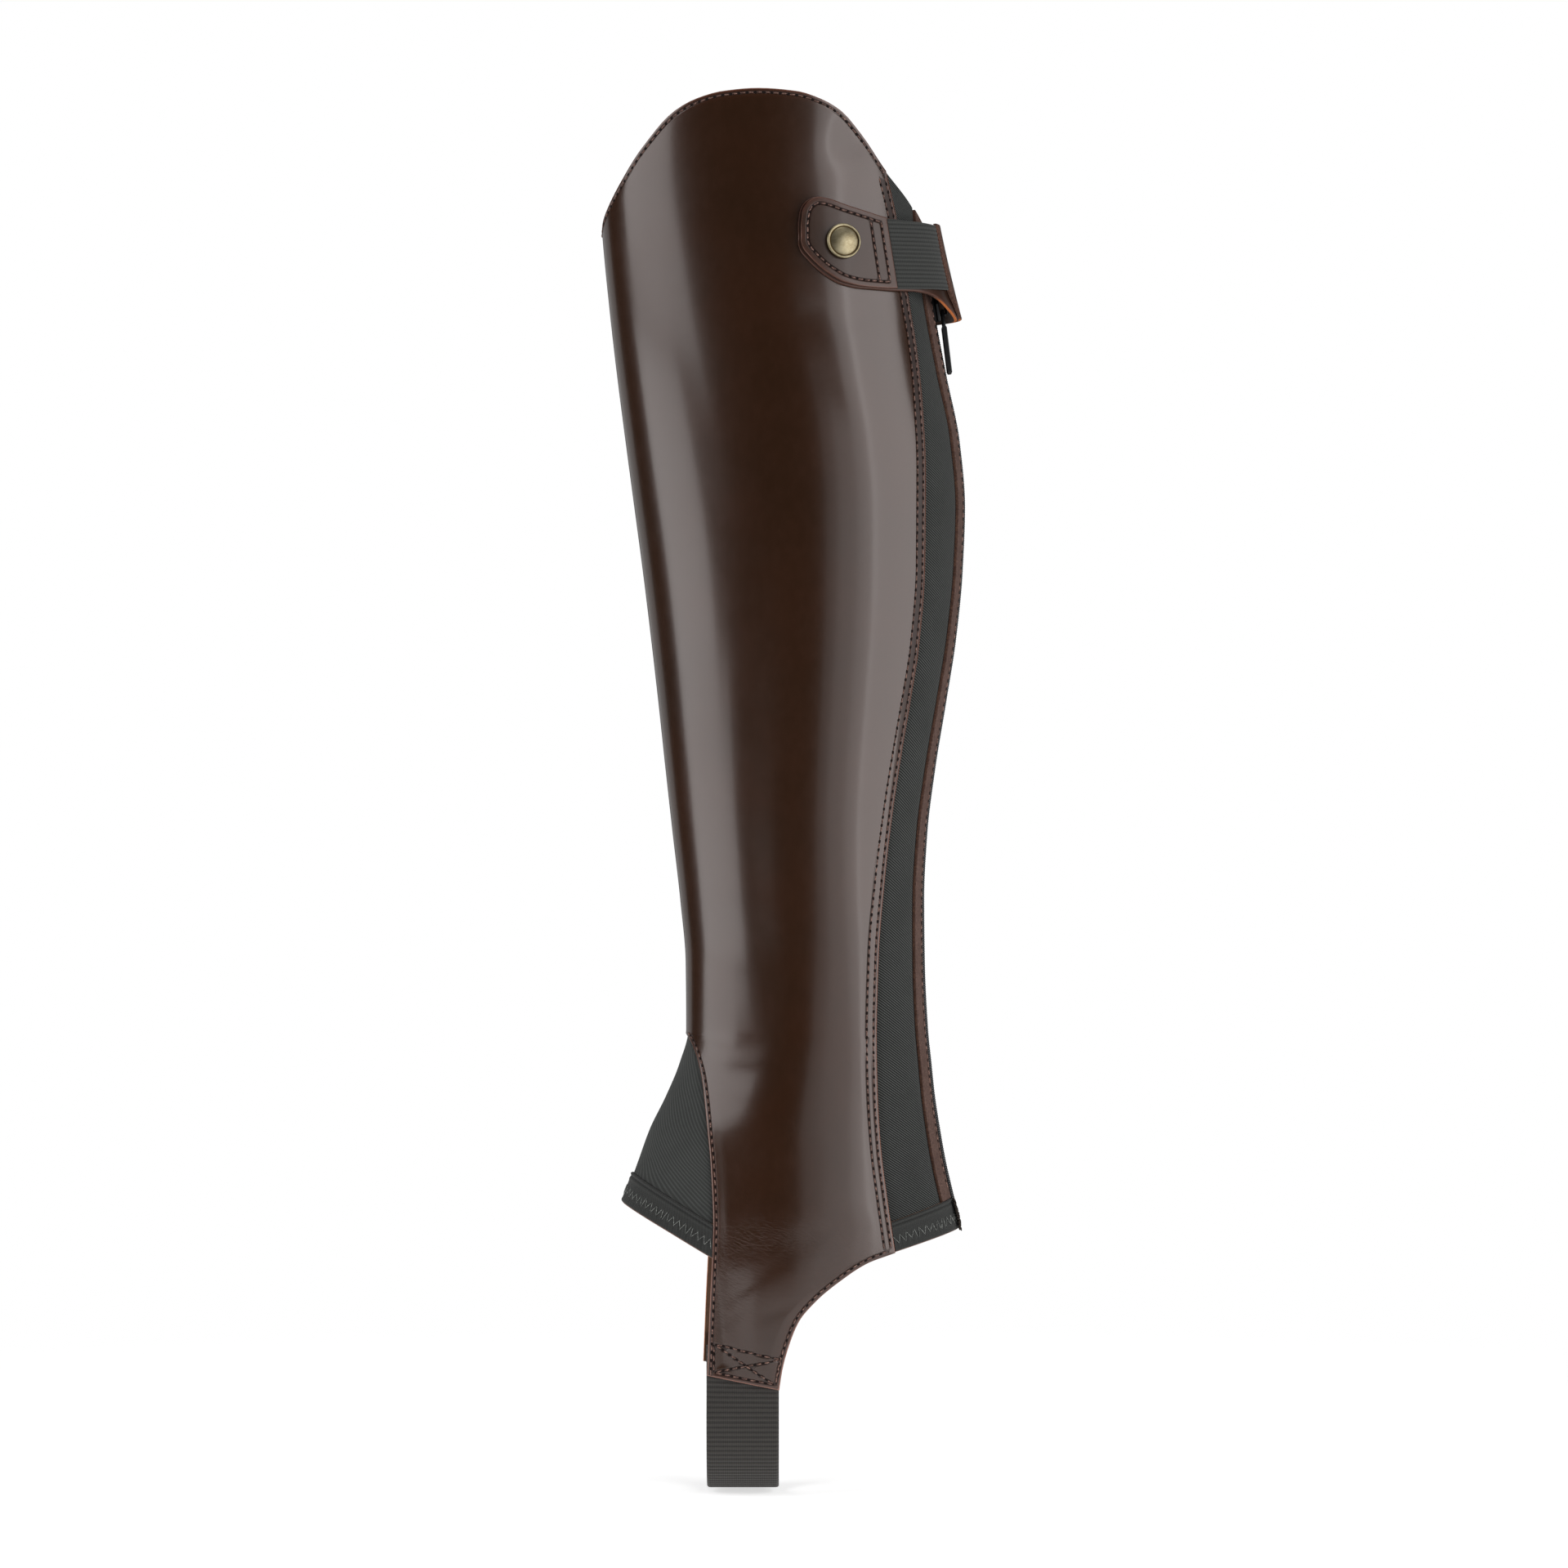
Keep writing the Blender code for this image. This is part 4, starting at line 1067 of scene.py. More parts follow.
def binding_grid(start, end, foot, height, across, up):
    """Angles and heights over a hem's band, with places along and up it from 0 to 1."""
    u = np.linspace(0, 1, across + 1)[None, :]
    v = np.linspace(0, 1, up + 1)[:, None]
    z = np.full((up + 1, across + 1), float(FRONT_HEM_TOP))
    for _ in range(12):
        first, last = start(z), end(z)
        angle = first + (last - first) * u
        z = foot(angle) + height * v
    return angle, z, u, v


def make_hem(name, start, end, foot, height, across, node):
    angle, z, u, v = binding_grid(start, end, foot, height - SEAM_GAP, across, 26)
    from_foot = v * height
    from_top = height - from_foot
    ridge = 0.36 * np.exp(-(((from_top - 0.6) / 0.42) ** 2)) - 0.22 * np.exp(-(((from_top - 1.45) / 0.4) ** 2))
    ridge = ridge + 0.2 * np.exp(-(((from_top - 2.6) / 0.45) ** 2))
    ripple = 0.13 * np.sin(u * across * 1.9 + 2.0 * np.sin(u * 17)) * np.exp(-(((from_foot - 4.4) / 2.4) ** 2))
    puff = 0.25 * np.exp(-(((from_foot - 0.9) / 1.1) ** 2))
    roll = np.minimum(edge_drop(from_foot, 1.0) + edge_drop(from_top, 0.35), BINDING * 0.8)
    rise = BINDING_PROUD + ridge + ripple + puff - roll - 0.3
    outer = off_form(angle, z, rise)
    inner = off_form(angle, z, rise * 0 - BINDING)
    around = u * np.linalg.norm(outer[0, 0] - outer[0, -1]) * 1.2
    uv = np.stack(np.broadcast_arrays(around * MM, z * MM + around * MM * 0.3), -1)
    # The binding's ridges and ripples are kept for the shader, which paints their crests lighter and their creases
    # darker as light and shade.
    crown = np.clip(0.45 + (ridge + ripple) * 2.2, 0, 1)
    obj = shell(name, outer, inner, [BINDING_CLOTH] * 6, uv, from_foot + 0 * u, crown=crown)
    sew_in(obj, "black_binding", node)


def make_stirrup():
    """Ribbed elastic, whose ribs run across it, from one tongue round under the boot to the other."""
    centre = STIRRUP_FOOT + STIRRUP_RADIUS
    straight = STIRRUP_TOP - centre
    arc = math.pi * STIRRUP_RADIUS
    total = 2 * straight + arc
    s = np.linspace(0, total, 560)[:, None]
    width = np.concatenate([[0, 0.25, 0.6, 1.0], np.linspace(1.6, STIRRUP_WIDTH - 1.6, 24)])
    width = np.concatenate([width, STIRRUP_WIDTH - width[3::-1]])[None, :]
    x = STIRRUP_MIDDLE - STIRRUP_WIDTH / 2 + width + 0 * s
    turn = np.clip((s - straight) / STIRRUP_RADIUS, 0, math.pi)
    before = np.clip(straight - s, 0, None)
    after = np.clip(s - straight - arc, 0, None)
    rise = (before + after) / straight
    z_line = centre + (before + after)
    blend = np.clip(rise / 0.45, 0, 1)
    blend = blend * blend * (3 - 2 * blend)
    side = np.where(s < total / 2, -1.0, 1.0)
    edge = np.minimum(width, STIRRUP_WIDTH - width)
    ribs = np.cos(s * FULL_TURN / STIRRUP_RIB) * 0.5 + 0.5
    ribs = ribs**0.7
    swell = 0.30 * ribs * np.clip(edge / 1.2, 0.15, 1) - edge_drop(edge, 0.7)

    def layer(inset):
        radius = STIRRUP_RADIUS - inset
        bend = np.stack(np.broadcast_arrays(x, -radius * np.cos(turn), centre - radius * np.sin(turn)), -1)
        angle = side_angle(x, z_line + 0 * x)
        angle = np.where(side < 0, angle, FULL_TURN - angle)
        snug = off_form(angle, z_line + 0 * x, -LEATHER - 0.75 - inset)
        y = side * radius + (snug[..., 1] - side * radius) * blend
        legs = np.stack(np.broadcast_arrays(x, y, z_line), -1)
        return np.where((before + after)[..., None] > 0, legs, bend)

    outer = layer(0.35 - swell)
    inner = layer(STIRRUP_THICK - 0.15 * ribs + 0 * x)
    uv = np.stack(np.broadcast_arrays(width * MM, s * MM), -1)
    # The rib crests are kept for the shader, which paints them lighter as a highlight and the troughs darker as shade.
    obj = shell("boot_elastic", outer, inner, [WEBBING] * 6, uv, edge + 0 * s, crown=ribs * 0.9 + 0 * x, sharp=60)
    settle(obj, "chap", "black_webbing", "stirrup_elastic")


def strap_shell(name, grid, across, up, lift, thickness, finishes, ribs=None, edge=0.45, lines=()):
    """A layer of the fastening strap. grid(u, v) gives the angle and height at each share of its length and width."""
    u = shares(across[0], edge=(0.0, 0.12, 0.3, 0.6), step=across[1])[None, :]
    v = shares(up[0], edge=(0.0, 0.12, 0.3, 0.6), step=up[1])[:, None]
    angle, z = grid(u, v)
    base = on_strap(angle, z, lift)
    from_start, from_end = cut_lengths(base)
    steps = np.linalg.norm(np.diff(base, axis=0), axis=-1)
    from_foot = np.concatenate([np.zeros((1, base.shape[1])), np.cumsum(steps, axis=0)], axis=0)
    from_head = from_foot[-1:] - from_foot
    rim = np.minimum(np.minimum(from_start, from_end), np.minimum(from_foot, from_head))
    rise = thickness - edge_drop(rim, edge)
    crown = rim * 0
    if ribs is not None:
        rise = rise + ribs(from_foot)
        # The rib crests are kept for the shader, which paints them lighter as a highlight and the troughs darker as
        # shade.
        crown = np.clip(ribs(from_foot) / 0.2, 0, 1)
    sewn = rim * 0 + UNSEWN
    if lines:
        sewn = nearest(on_strap(angle, z, lift), [on_strap(*line, lift) for line in lines])
    outer = on_strap(angle, z, lift + rise)
    uv = np.stack([from_start * MM, from_foot * MM], -1)
    return shell(name, outer, base, finishes, uv, rim, crown=crown, sewn=sewn, end=from_start)


def tab_grid(u, v):
    t = 1 - np.cos(math.pi / 2 * u)
    z = np.full(np.broadcast(u, v).shape, STRAP_MIDDLE)
    for _ in range(10):
        x = TAB[0][0] + (tab_limit(z) - TAB[0][0]) * t
        low, high = tab_lower(x), tab_upper(x)
        z = low + (high - low) * v
    return side_angle(x, z), z


def tab_border(inset):
    """A line in x and z that follows the tab's outline, this far inside it, from its foot round the nose."""
    reach = TAB[0][0] + (TAB[-1][0] - TAB[0][0]) * np.linspace(0, 1, 260) ** 2
    foot = np.stack([reach, tab_lower(reach)], -1)
    head = np.stack([reach, tab_upper(reach)], -1)
    outline = evenly(np.concatenate([foot[::-1], head]), 0.2)
    heading = np.gradient(outline, axis=0)
    heading /= np.linalg.norm(heading, axis=1, keepdims=True)
    inside = outline + inset * np.stack([heading[:, 1], -heading[:, 0]], -1)
    apart = np.linalg.norm(inside[:, None] - outline[None], axis=-1).min(axis=1)
    return inside[apart > inset * 0.97]


def tab_lines():
    """The tab's border row, and the two bars beside the elastic."""
    x, z = tab_border(TAB_ROW).T
    kept = x < tab_limit(z) - TAB_BARS[0]
    lines = [(side_angle(x[kept], z[kept]), z[kept])]
    for place in TAB_BARS:
        level = np.linspace(TAB_FOOT + TAB_ROW, TAB[-1][2] + 1.5 - TAB_ROW, 40)
        lines.append((side_angle(tab_limit(level) - place, level), level))
    return lines


def square_lines():
    """The square that holds the strap on the inner panel."""
    up = np.linspace(*SQUARE_HEIGHTS, 40)
    along = np.linspace(*SQUARE_SIDES, 30)
    lines = [(round_from_zip(distance, up), up) for distance in SQUARE_SIDES]
    return lines + [(round_from_zip(along, along * 0 + level), along * 0 + level) for level in SQUARE_HEIGHTS]


def backing_grid(u, v):
    share = 0.36
    t = 1 - np.cos(math.pi / 2 * np.clip(u / share, 0, 1))
    back = np.clip((u - share) / (1 - share), 0, 1)
    z = np.full(np.broadcast(u, v).shape, STRAP_MIDDLE)
    for _ in range(10):
        limit = form(round_from_zip(BACKING_JOIN, z), z)[..., 0]
        x = TAB[0][0] - BACKING_EDGE + (limit - TAB[0][0] + BACKING_EDGE) * t
        near = np.minimum(x + BACKING_EDGE, TAB_END)
        edge = BACKING_EDGE * (1 - t)
        tab_low = (tab_lower(near) - edge) * (1 - t**4) + backing_lower(BACKING_JOIN) * t**4
        tab_high = (tab_upper(near) + edge * 0.3) * (1 - t**4) + backing_upper(BACKING_JOIN) * t**4
        distance = BACKING_JOIN + (BACKING[0][0] - BACKING_JOIN) * back
        in_tab = (u <= share) + 0 * v
        low = np.where(in_tab, tab_low, backing_lower(distance))
        high = np.where(in_tab, tab_high, backing_upper(distance))
        angle = np.where(in_tab, side_angle(x, z), round_from_zip(distance, z))
        z = low + (high - low) * v
    return angle, z


def elastic_grid(u, v):
    z = np.full(np.broadcast(u, v).shape, STRAP_MIDDLE)
    for _ in range(10):
        start = distance_from_zip(side_angle(tab_limit(z), z), z) - SEAM_GAP * 1.5
        end = back_layer_end(z) + SEAM_GAP
        distance = start + (end - start) * u
        low = 80.6 + 0.4 * u
        high = 109.4 - u
        z = low + (high - low) * v
    return round_from_zip(distance, z), z


def back_layer_grid(u, v):
    z = np.full(np.broadcast(u, v).shape, STRAP_MIDDLE)
    for _ in range(10):
        end = back_layer_end(z)
        distance = end + (BACK_LAYER_START - end) * u
        reach = np.maximum(distance, BACK_LAYER_START + 4)
        low = backing_lower(np.minimum(reach, 2.0))
        high = backing_upper(reach) + 0.3
        z = low + (high - low) * v
    return round_from_zip(distance, z), z


def elastic_ribs(from_foot):
    return 0.2 * (np.cos(from_foot * FULL_TURN / 1.72) * 0.5 + 0.5) ** 0.8


def make_strap():
    lift = STRAP_LAYER + SEAM_GAP
    edge = [LINING_EDGE] * 4
    tab = strap_shell(
        "tab_leather", tab_grid, (40, 0.7), (34, 0.7), lift, STRAP_LAYER, [TAB_FACE, LEATHER_BACK, *[DARK_EDGE] * 4],
        lines=tab_lines(),
    )
    sew_in(tab, "brown_leather", "snap_tab")
    backing = strap_shell(
        "strap_lining", backing_grid, (125, 1.6), (36, 1.6), 0.0, STRAP_LAYER, [LINING_FACE, LEATHER_BACK, *edge]
    )
    sew_in(backing, "brown_leather", "strap_backing")
    base = strap_shell(
        "strap_leather", back_layer_grid, (70, 1.0), (38, 1.0), lift, STRAP_LAYER,
        [STRAP_FACE, LEATHER_BACK, LINING_EDGE, LINING_EDGE, DARK_EDGE, DARK_EDGE], lines=square_lines(),
    )
    sew_in(base, "brown_leather", "strap_base")
    elastic = strap_shell(
        "strap_elastic", elastic_grid, (36, 1.0), (29, 0.22), lift, STRAP_ELASTIC - 0.3, [STRAP_WEBBING] * 6,
        ribs=elastic_ribs, edge=0.5,
    )
    sew_in(elastic, "black_webbing", "tab_elastic")


def softened(name, node, body, bevel):
    """A finer copy of a hard piece, with its edges eased."""
    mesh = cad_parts[node].data.copy()
    mesh.name = name
    bm = bmesh.new()
    bm.from_mesh(mesh)
    bmesh.ops.remove_doubles(bm, verts=bm.verts[:], dist=0.02 * MM)
    bmesh.ops.dissolve_limit(bm, angle_limit=math.radians(2), verts=bm.verts[:], edges=bm.edges[:])
    bm.to_mesh(mesh)
    bm.free()
    mesh.materials.clear()
    mesh.materials.append(BLACK_METAL)
    obj = add_object(name, mesh)
    modifier = obj.modifiers.new("ease", "BEVEL")
    modifier.width = bevel * MM
    modifier.segments = 3
    modifier.limit_method = "ANGLE"
    modifier.angle_limit = math.radians(35)
    modifier.harden_normals = False
    mesh.shade_smooth()
    mesh.set_sharp_from_angle(angle=math.radians(40))
    settle(obj, body, "black_metal", node)


def make_cap():
    """A plain domed stud cap with a rolled rim and one turned groove."""
    ring = CAP_RADIUS
    profile = [(0, 0), (ring - 0.7, 0), (ring - 0.25, 0.12), (ring, 0.5), (ring, CAP_RIM - 0.45)]
    profile += [(ring - 0.12, CAP_RIM - 0.12), (ring - 0.45, CAP_RIM), (ring - 0.85, CAP_RIM - 0.08)]
    profile += [(ring - 1.15, CAP_RIM - 0.35), (ring - 1.4, CAP_RIM - 0.4), (ring - 1.65, CAP_RIM - 0.2)]
    inner = ring - 1.65
    for k in range(1, 15):
        part = k / 14
        profile.append((inner * (1 - part), CAP_RIM - 0.2 + (CAP_CROWN - CAP_RIM + 0.2) * (1 - (1 - part) ** 2)))
    angle = math.radians(CAP_DEGREES)
    axis = Vector(outward(np.array(angle), np.array(CAP_Z)))
    seat = 2 * (STRAP_LAYER + SEAM_GAP) + SEAM_GAP + 0.35
    middle = Vector(off_form(np.array(angle), np.array(CAP_Z), np.array(seat)))
    place = Matrix.Translation(middle) @ axis.to_track_quat("Z", "Y").to_matrix().to_4x4()
    bm = bmesh.new()
    verts = [bm.verts.new((radius, 0, height)) for radius, height in profile]
    edges = [bm.edges.new(pair) for pair in zip(verts, verts[1:])]
    bmesh.ops.spin(
        bm, geom=verts + edges, cent=(0, 0, 0), axis=(0, 0, 1), angle=FULL_TURN, steps=96, use_merge=True
    )
    bmesh.ops.remove_doubles(bm, verts=bm.verts[:], dist=0.002)
    bmesh.ops.recalc_face_normals(bm, faces=bm.faces[:])
    radii = [math.hypot(v.co.x, v.co.y) for v in bm.verts]
    heights = [v.co.z for v in bm.verts]
    for vert in bm.verts:
        vert.co = (place @ vert.co) * MM
    mesh = bpy.data.meshes.new("stud_cap")
    bm.to_mesh(mesh)
    bm.free()
    groove = [1.0 if abs(r - ring + 1.25) < 0.2 and h > 0.5 else 0.0 for r, h in zip(radii, heights)]
    low = [0.55 if h < 0.3 else 0.0 for h in heights]
    point_field(mesh, "groove", np.maximum(groove, low))
    mesh.materials.append(BRASS)
    mesh.shade_smooth()
    mesh.set_sharp_from_angle(angle=math.radians(60))
    cap = add_object("stud_cap", mesh)
    settle(cap, "chap", "aged_brass", "snap_cap")


class Tree:
    """One Geometry Nodes tree with named inputs."""

    def __init__(self, name, **numbers):
        self.group = bpy.data.node_groups.new(name, "GeometryNodeTree")
        interface = self.group.interface
        interface.new_socket("Geometry", in_out="INPUT", socket_type="NodeSocketGeometry")
        self.sockets = {}
        for key, value in numbers.items():
            kind = "NodeSocketInt" if isinstance(value, int) else "NodeSocketFloat"
            socket = interface.new_socket(key, in_out="INPUT", socket_type=kind)
            socket.default_value = value
            self.sockets[key] = socket
        interface.new_socket("Geometry", in_out="OUTPUT", socket_type="NodeSocketGeometry")
        self.inputs = self.group.nodes.new("NodeGroupInput")
        self.outputs = self.group.nodes.new("NodeGroupOutput")

    def add(self, kind, settings=None, inputs=None, output=0):
        return new_node(self.group, kind, settings, inputs).outputs[output]

    def math(self, operation, *values):
        return self.add("ShaderNodeMath", {"operation": operation}, dict(enumerate(values)))

    def end(self, geometry, finish):
        real = self.add("GeometryNodeRealizeInstances", {}, {0: geometry})
        self.finish = finish
        painted = self.add("GeometryNodeSetMaterial", {}, {"Geometry": real, "Material": finish})
        self.group.links.new(painted, self.outputs.inputs[0])


def turned_to_path(tree, points):
    """The turn that lays a piece's X along the path and its Z along the stored outward direction."""
    facing = tree.add("GeometryNodeInputNamedAttribute", {"data_type": "FLOAT_VECTOR"}, {"Name": "out"})
    heading = tree.add("GeometryNodeInputNamedAttribute", {"data_type": "FLOAT_VECTOR"}, {"Name": "heading"})
    first = tree.add("FunctionNodeAlignRotationToVector", {"axis": "X"}, {"Vector": heading})
    return tree.add(
        "FunctionNodeAlignRotationToVector", {"axis": "Z", "pivot_axis": "X"}, {"Rotation": first, "Vector": facing}
    )


def stitch_tree(name, finish):
    """Stitches along a path: one rounded stitch at each point, leaning to alternate sides in a zigzag."""
    numbers = {"Long": STITCH_LONG * MM, "Thick": THREAD * MM, "Tall": THREAD * MM}
    numbers.update(Lean=0.0, Uneven=0.1, Seed=3)
    tree = Tree(name, **numbers)
    given = tree.inputs.outputs
    points = tree.add("GeometryNodeMeshToPoints", {}, {0: given["Geometry"]})
    ball = tree.add("GeometryNodeMeshUVSphere", {}, {"Segments": 8, "Rings": 6, "Radius": 0.5})
    ball = tree.add("GeometryNodeSetShadeSmooth", {}, {0: ball})
    index = tree.add("GeometryNodeInputIndex")
    odd = tree.math("MODULO", index, 2.0)
    side = tree.math("SUBTRACT", tree.math("MULTIPLY", odd, 2.0), 1.0)
    spread = {"data_type": "FLOAT"}
    wobble = tree.add("FunctionNodeRandomValue", spread, {2: -1.0, 3: 1.0, "Seed": given["Seed"]}, output=1)
    lean = tree.math("MULTIPLY", side, given["Lean"])
    lean = tree.math("ADD", lean, tree.math("MULTIPLY", wobble, given["Uneven"]))
    tilt = tree.add("FunctionNodeAxisAngleToRotation", {}, {"Axis": (0, 0, 1), "Angle": lean})
    turn = tree.add("FunctionNodeRotateRotation", {"rotation_space": "LOCAL"}, {0: turned_to_path(tree, points), 1: tilt})
    long = tree.math("MULTIPLY", given["Long"], tree.math("ADD", 1.0, tree.math("MULTIPLY", wobble, 0.08)))
    size = tree.add("ShaderNodeCombineXYZ", {}, {0: long, 1: given["Thick"], 2: given["Tall"]})
    placed = tree.add(
        "GeometryNodeInstanceOnPoints", {}, {"Points": points, "Instance": ball, "Rotation": turn, "Scale": size}
    )
    tree.end(placed, finish)
    return tree


def tooth_tree(name, finish):
    """Zip teeth, set from alternate sides so that they mesh along the middle."""
    tree = Tree(name, Wide=3.3 * MM, Long=1.35 * MM, Tall=2.3 * MM, Apart=1.25 * MM)
    given = tree.inputs.outputs
    points = tree.add("GeometryNodeMeshToPoints", {}, {0: given["Geometry"]})
    block = tree.add("GeometryNodeMeshCube", {}, {"Size": (1.0, 1.0, 1.0), "Vertices X": 2, "Vertices Y": 3})
    block = tree.add("GeometryNodeSubdivisionSurface", {}, {"Mesh": block, "Level": 1, "Edge Crease": 0.55})
    block = tree.add("GeometryNodeSetShadeSmooth", {}, {0: block})
    index = tree.add("GeometryNodeInputIndex")
    side = tree.math("SUBTRACT", tree.math("MULTIPLY", tree.math("MODULO", index, 2.0), 2.0), 1.0)
    shift = tree.math("MULTIPLY", side, given["Apart"])
    offset = tree.add("ShaderNodeCombineXYZ", {}, {0: 0.0, 1: shift, 2: 0.0})
    turn = turned_to_path(tree, points)
    size = tree.add("ShaderNodeCombineXYZ", {}, {0: given["Long"], 1: given["Wide"], 2: given["Tall"]})
    placed = tree.add(
        "GeometryNodeInstanceOnPoints", {}, {"Points": points, "Instance": block, "Rotation": turn, "Scale": size}
    )
    moved_over = tree.add(
        "GeometryNodeTranslateInstances", {}, {"Instances": placed, "Translation": offset, "Local Space": True}
    )
    tree.end(moved_over, finish)
    return tree


def path_mesh(name, points, normals):
    """A row of points in metres that remember where the row is heading and which way is out."""
    headings = np.gradient(points, axis=0)
    headings /= np.linalg.norm(headings, axis=1, keepdims=True)
    mesh = bpy.data.meshes.new(name)
    mesh.from_pydata(points.tolist(), [], [])
    for key, values in (("heading", headings), ("out", normals)):
        layer = mesh.attributes.new(key, "FLOAT_VECTOR", "POINT")
        layer.data.foreach_set("vector", values.astype(np.float32).ravel())
    return mesh


def grow(name, tree, rows, slot, **numbers):
    """Runs a tree over rows of (points, normals) in mm and keeps the result as one plain mesh."""
    meshes = []
    for number, (points, normals) in enumerate(rows):
        guide = add_object(f"{name}_guide_{number}", path_mesh(name, points * MM, normals))
        modifier = guide.modifiers.new("grow", "NODES")
        modifier.node_group = tree.group
        for key, value in numbers.items():
            modifier[tree.sockets[key].identifier] = value
        graph = bpy.context.evaluated_depsgraph_get()
        made = bpy.data.meshes.new_from_object(guide.evaluated_get(graph), depsgraph=graph)
        guide.modifiers.clear()
        bpy.data.objects.remove(guide, do_unlink=True)
        meshes.append(made)
    bm = bmesh.new()
    for made in meshes:
        bm.from_mesh(made)
    whole = bpy.data.meshes.new(name)
    bm.to_mesh(whole)
    bm.free()
    whole.materials.append(tree.finish)
    obj = add_object(name, whole)
    settle(obj, "chap", slot)
    return obj


def on_form_row(angles, heights, pitch, proud=0.0):
    """A sewing row on the form: even points with their outward directions."""
    line = off_form(angles, heights, np.full(np.shape(angles), 0.0))
    lengths = np.concatenate([[0], np.cumsum(np.linalg.norm(np.diff(line, axis=0), axis=1))])
    count = max(int(lengths[-1] / pitch), 1)
    at = (np.arange(count) + 0.5) * lengths[-1] / count
    angle = np.interp(at, lengths, angles)
    z = np.interp(at, lengths, heights)
    return off_form(angle, z, np.full(angle.shape, proud)), outward(angle, z)


def seated(rows, name, proud):
    """The same rows, moved along their outward directions to stand this far off a finished piece."""
    piece = BVHTree.FromObject(bpy.data.objects[name], bpy.context.evaluated_depsgraph_get())
    laid = []
    for points, normals in rows:
        places = []
        for point, normal in zip(points, normals):
            hit = piece.ray_cast(Vector((point + normal * SEAT_REACH) * MM), Vector(-normal))[0]
            places.append((np.array(hit) / MM if hit else point) + normal * proud)
        laid.append((np.array(places), normals))
    return laid


def leather_rows():
    """The rows sewn on the panels and the facing, on the strap's tab, and the square on the inner side."""
    rows = []
    for name, lines in (
        ("outer_leather", outer_lines()), ("inner_leather", inner_lines()), ("facing_leather", facing_lines()),
    ):
        rows += seated([on_form_row(*line, STITCH_PITCH) for line in lines], name, STITCH_PROUD)
    for name, lines in (("tab_leather", tab_lines()), ("strap_leather", square_lines())):
        rows += seated([on_form_row(*line, STRAP_STITCH_PITCH) for line in lines], name, STITCH_PROUD)
    return rows


def hem_rows():
    rows = []
    for name, start, end, foot in (
        ("gusset_binding", inner_gusset_angle, front_of_outer, front_hem_foot),
        ("heel_binding", back_of_outer, zip_edge, heel_hem_foot),
    ):
        angle, z, _, _ = binding_grid(start, end, foot, 10.4, 80, 2)
        rows += seated([on_form_row(angle[1], z[1], 1.55)], name, 0.1)
    return rows


def frayed_rows():
    """Short loose ends where the heel's binding is cut off beside the zip."""
    rows = []
    for number, distance in enumerate((ZIP_EDGE + 2.6, ZIP_EDGE + 1.6, ZIP_EDGE + 0.6, ZIP_EDGE - 0.4)):
        z = np.linspace(-306.6 + 0.5 * number, -295.2, 60)
        angle = round_from_zip(distance + 0.5 * np.sin(z * 2.3 + number), z)
        rows.append(on_form_row(angle, z, 0.42, 1.7 - 0.45 * number))
    return rows


def make_sewing():
    thread = stitch_tree("leather_stitches", SEAM_THREAD)
    # Painted shade: dark marks between the stitches and along the box's rows stand for the shade in the needle holes
    # and stitch grooves.
    hole_shades = stitch_tree("hole_shade_marks", HOLE_SHADE)
    rows = leather_rows()
    grow("seam_stitches", thread, rows, "brown_leather")
    between = []
    for points, normals in rows:
        halfway = (points[1:] + points[:-1]) / 2 - normals[1:] * 0.02
        between.append((halfway, normals[1:]))
    numbers = {"Long": 1.7 * MM, "Thick": 1.1 * MM, "Tall": 0.4 * MM, "Uneven": 0.2}
    grow("stitch_holes", hole_shades, [row for row in between if len(row[0]) > 1], "brown_leather", **numbers)
    boxes = []
    for mirror, name in ((False, "outer_leather"), (True, "inner_leather")):
        boxes += seated([on_form_row(*line, STITCH_PITCH / 2) for line in cross_box(mirror)], name, 0.0)
    numbers = {"Long": 1.9 * MM, "Thick": 0.8 * MM, "Tall": 0.2 * MM, "Uneven": 0.1}
    grow("box_lines", hole_shades, boxes, "brown_leather", **numbers)
    zigzag = stitch_tree("zigzag_stitches", GREY_THREAD)
    numbers = {"Long": 4.4 * MM, "Thick": 0.34 * MM, "Tall": 0.4 * MM, "Lean": math.radians(68), "Uneven": 0.24}
    grow("hem_zigzag", zigzag, hem_rows(), "black_binding", **numbers)


def make_frayed_end():
    loose = stitch_tree("loose_ends", FRAYED)
    numbers = {"Long": 2.8 * MM, "Thick": 0.42 * MM, "Tall": 0.9 * MM, "Lean": 0.6, "Uneven": 1.4, "Seed": 11}
    grow("frayed_end", loose, frayed_rows(), "black_binding", **numbers)


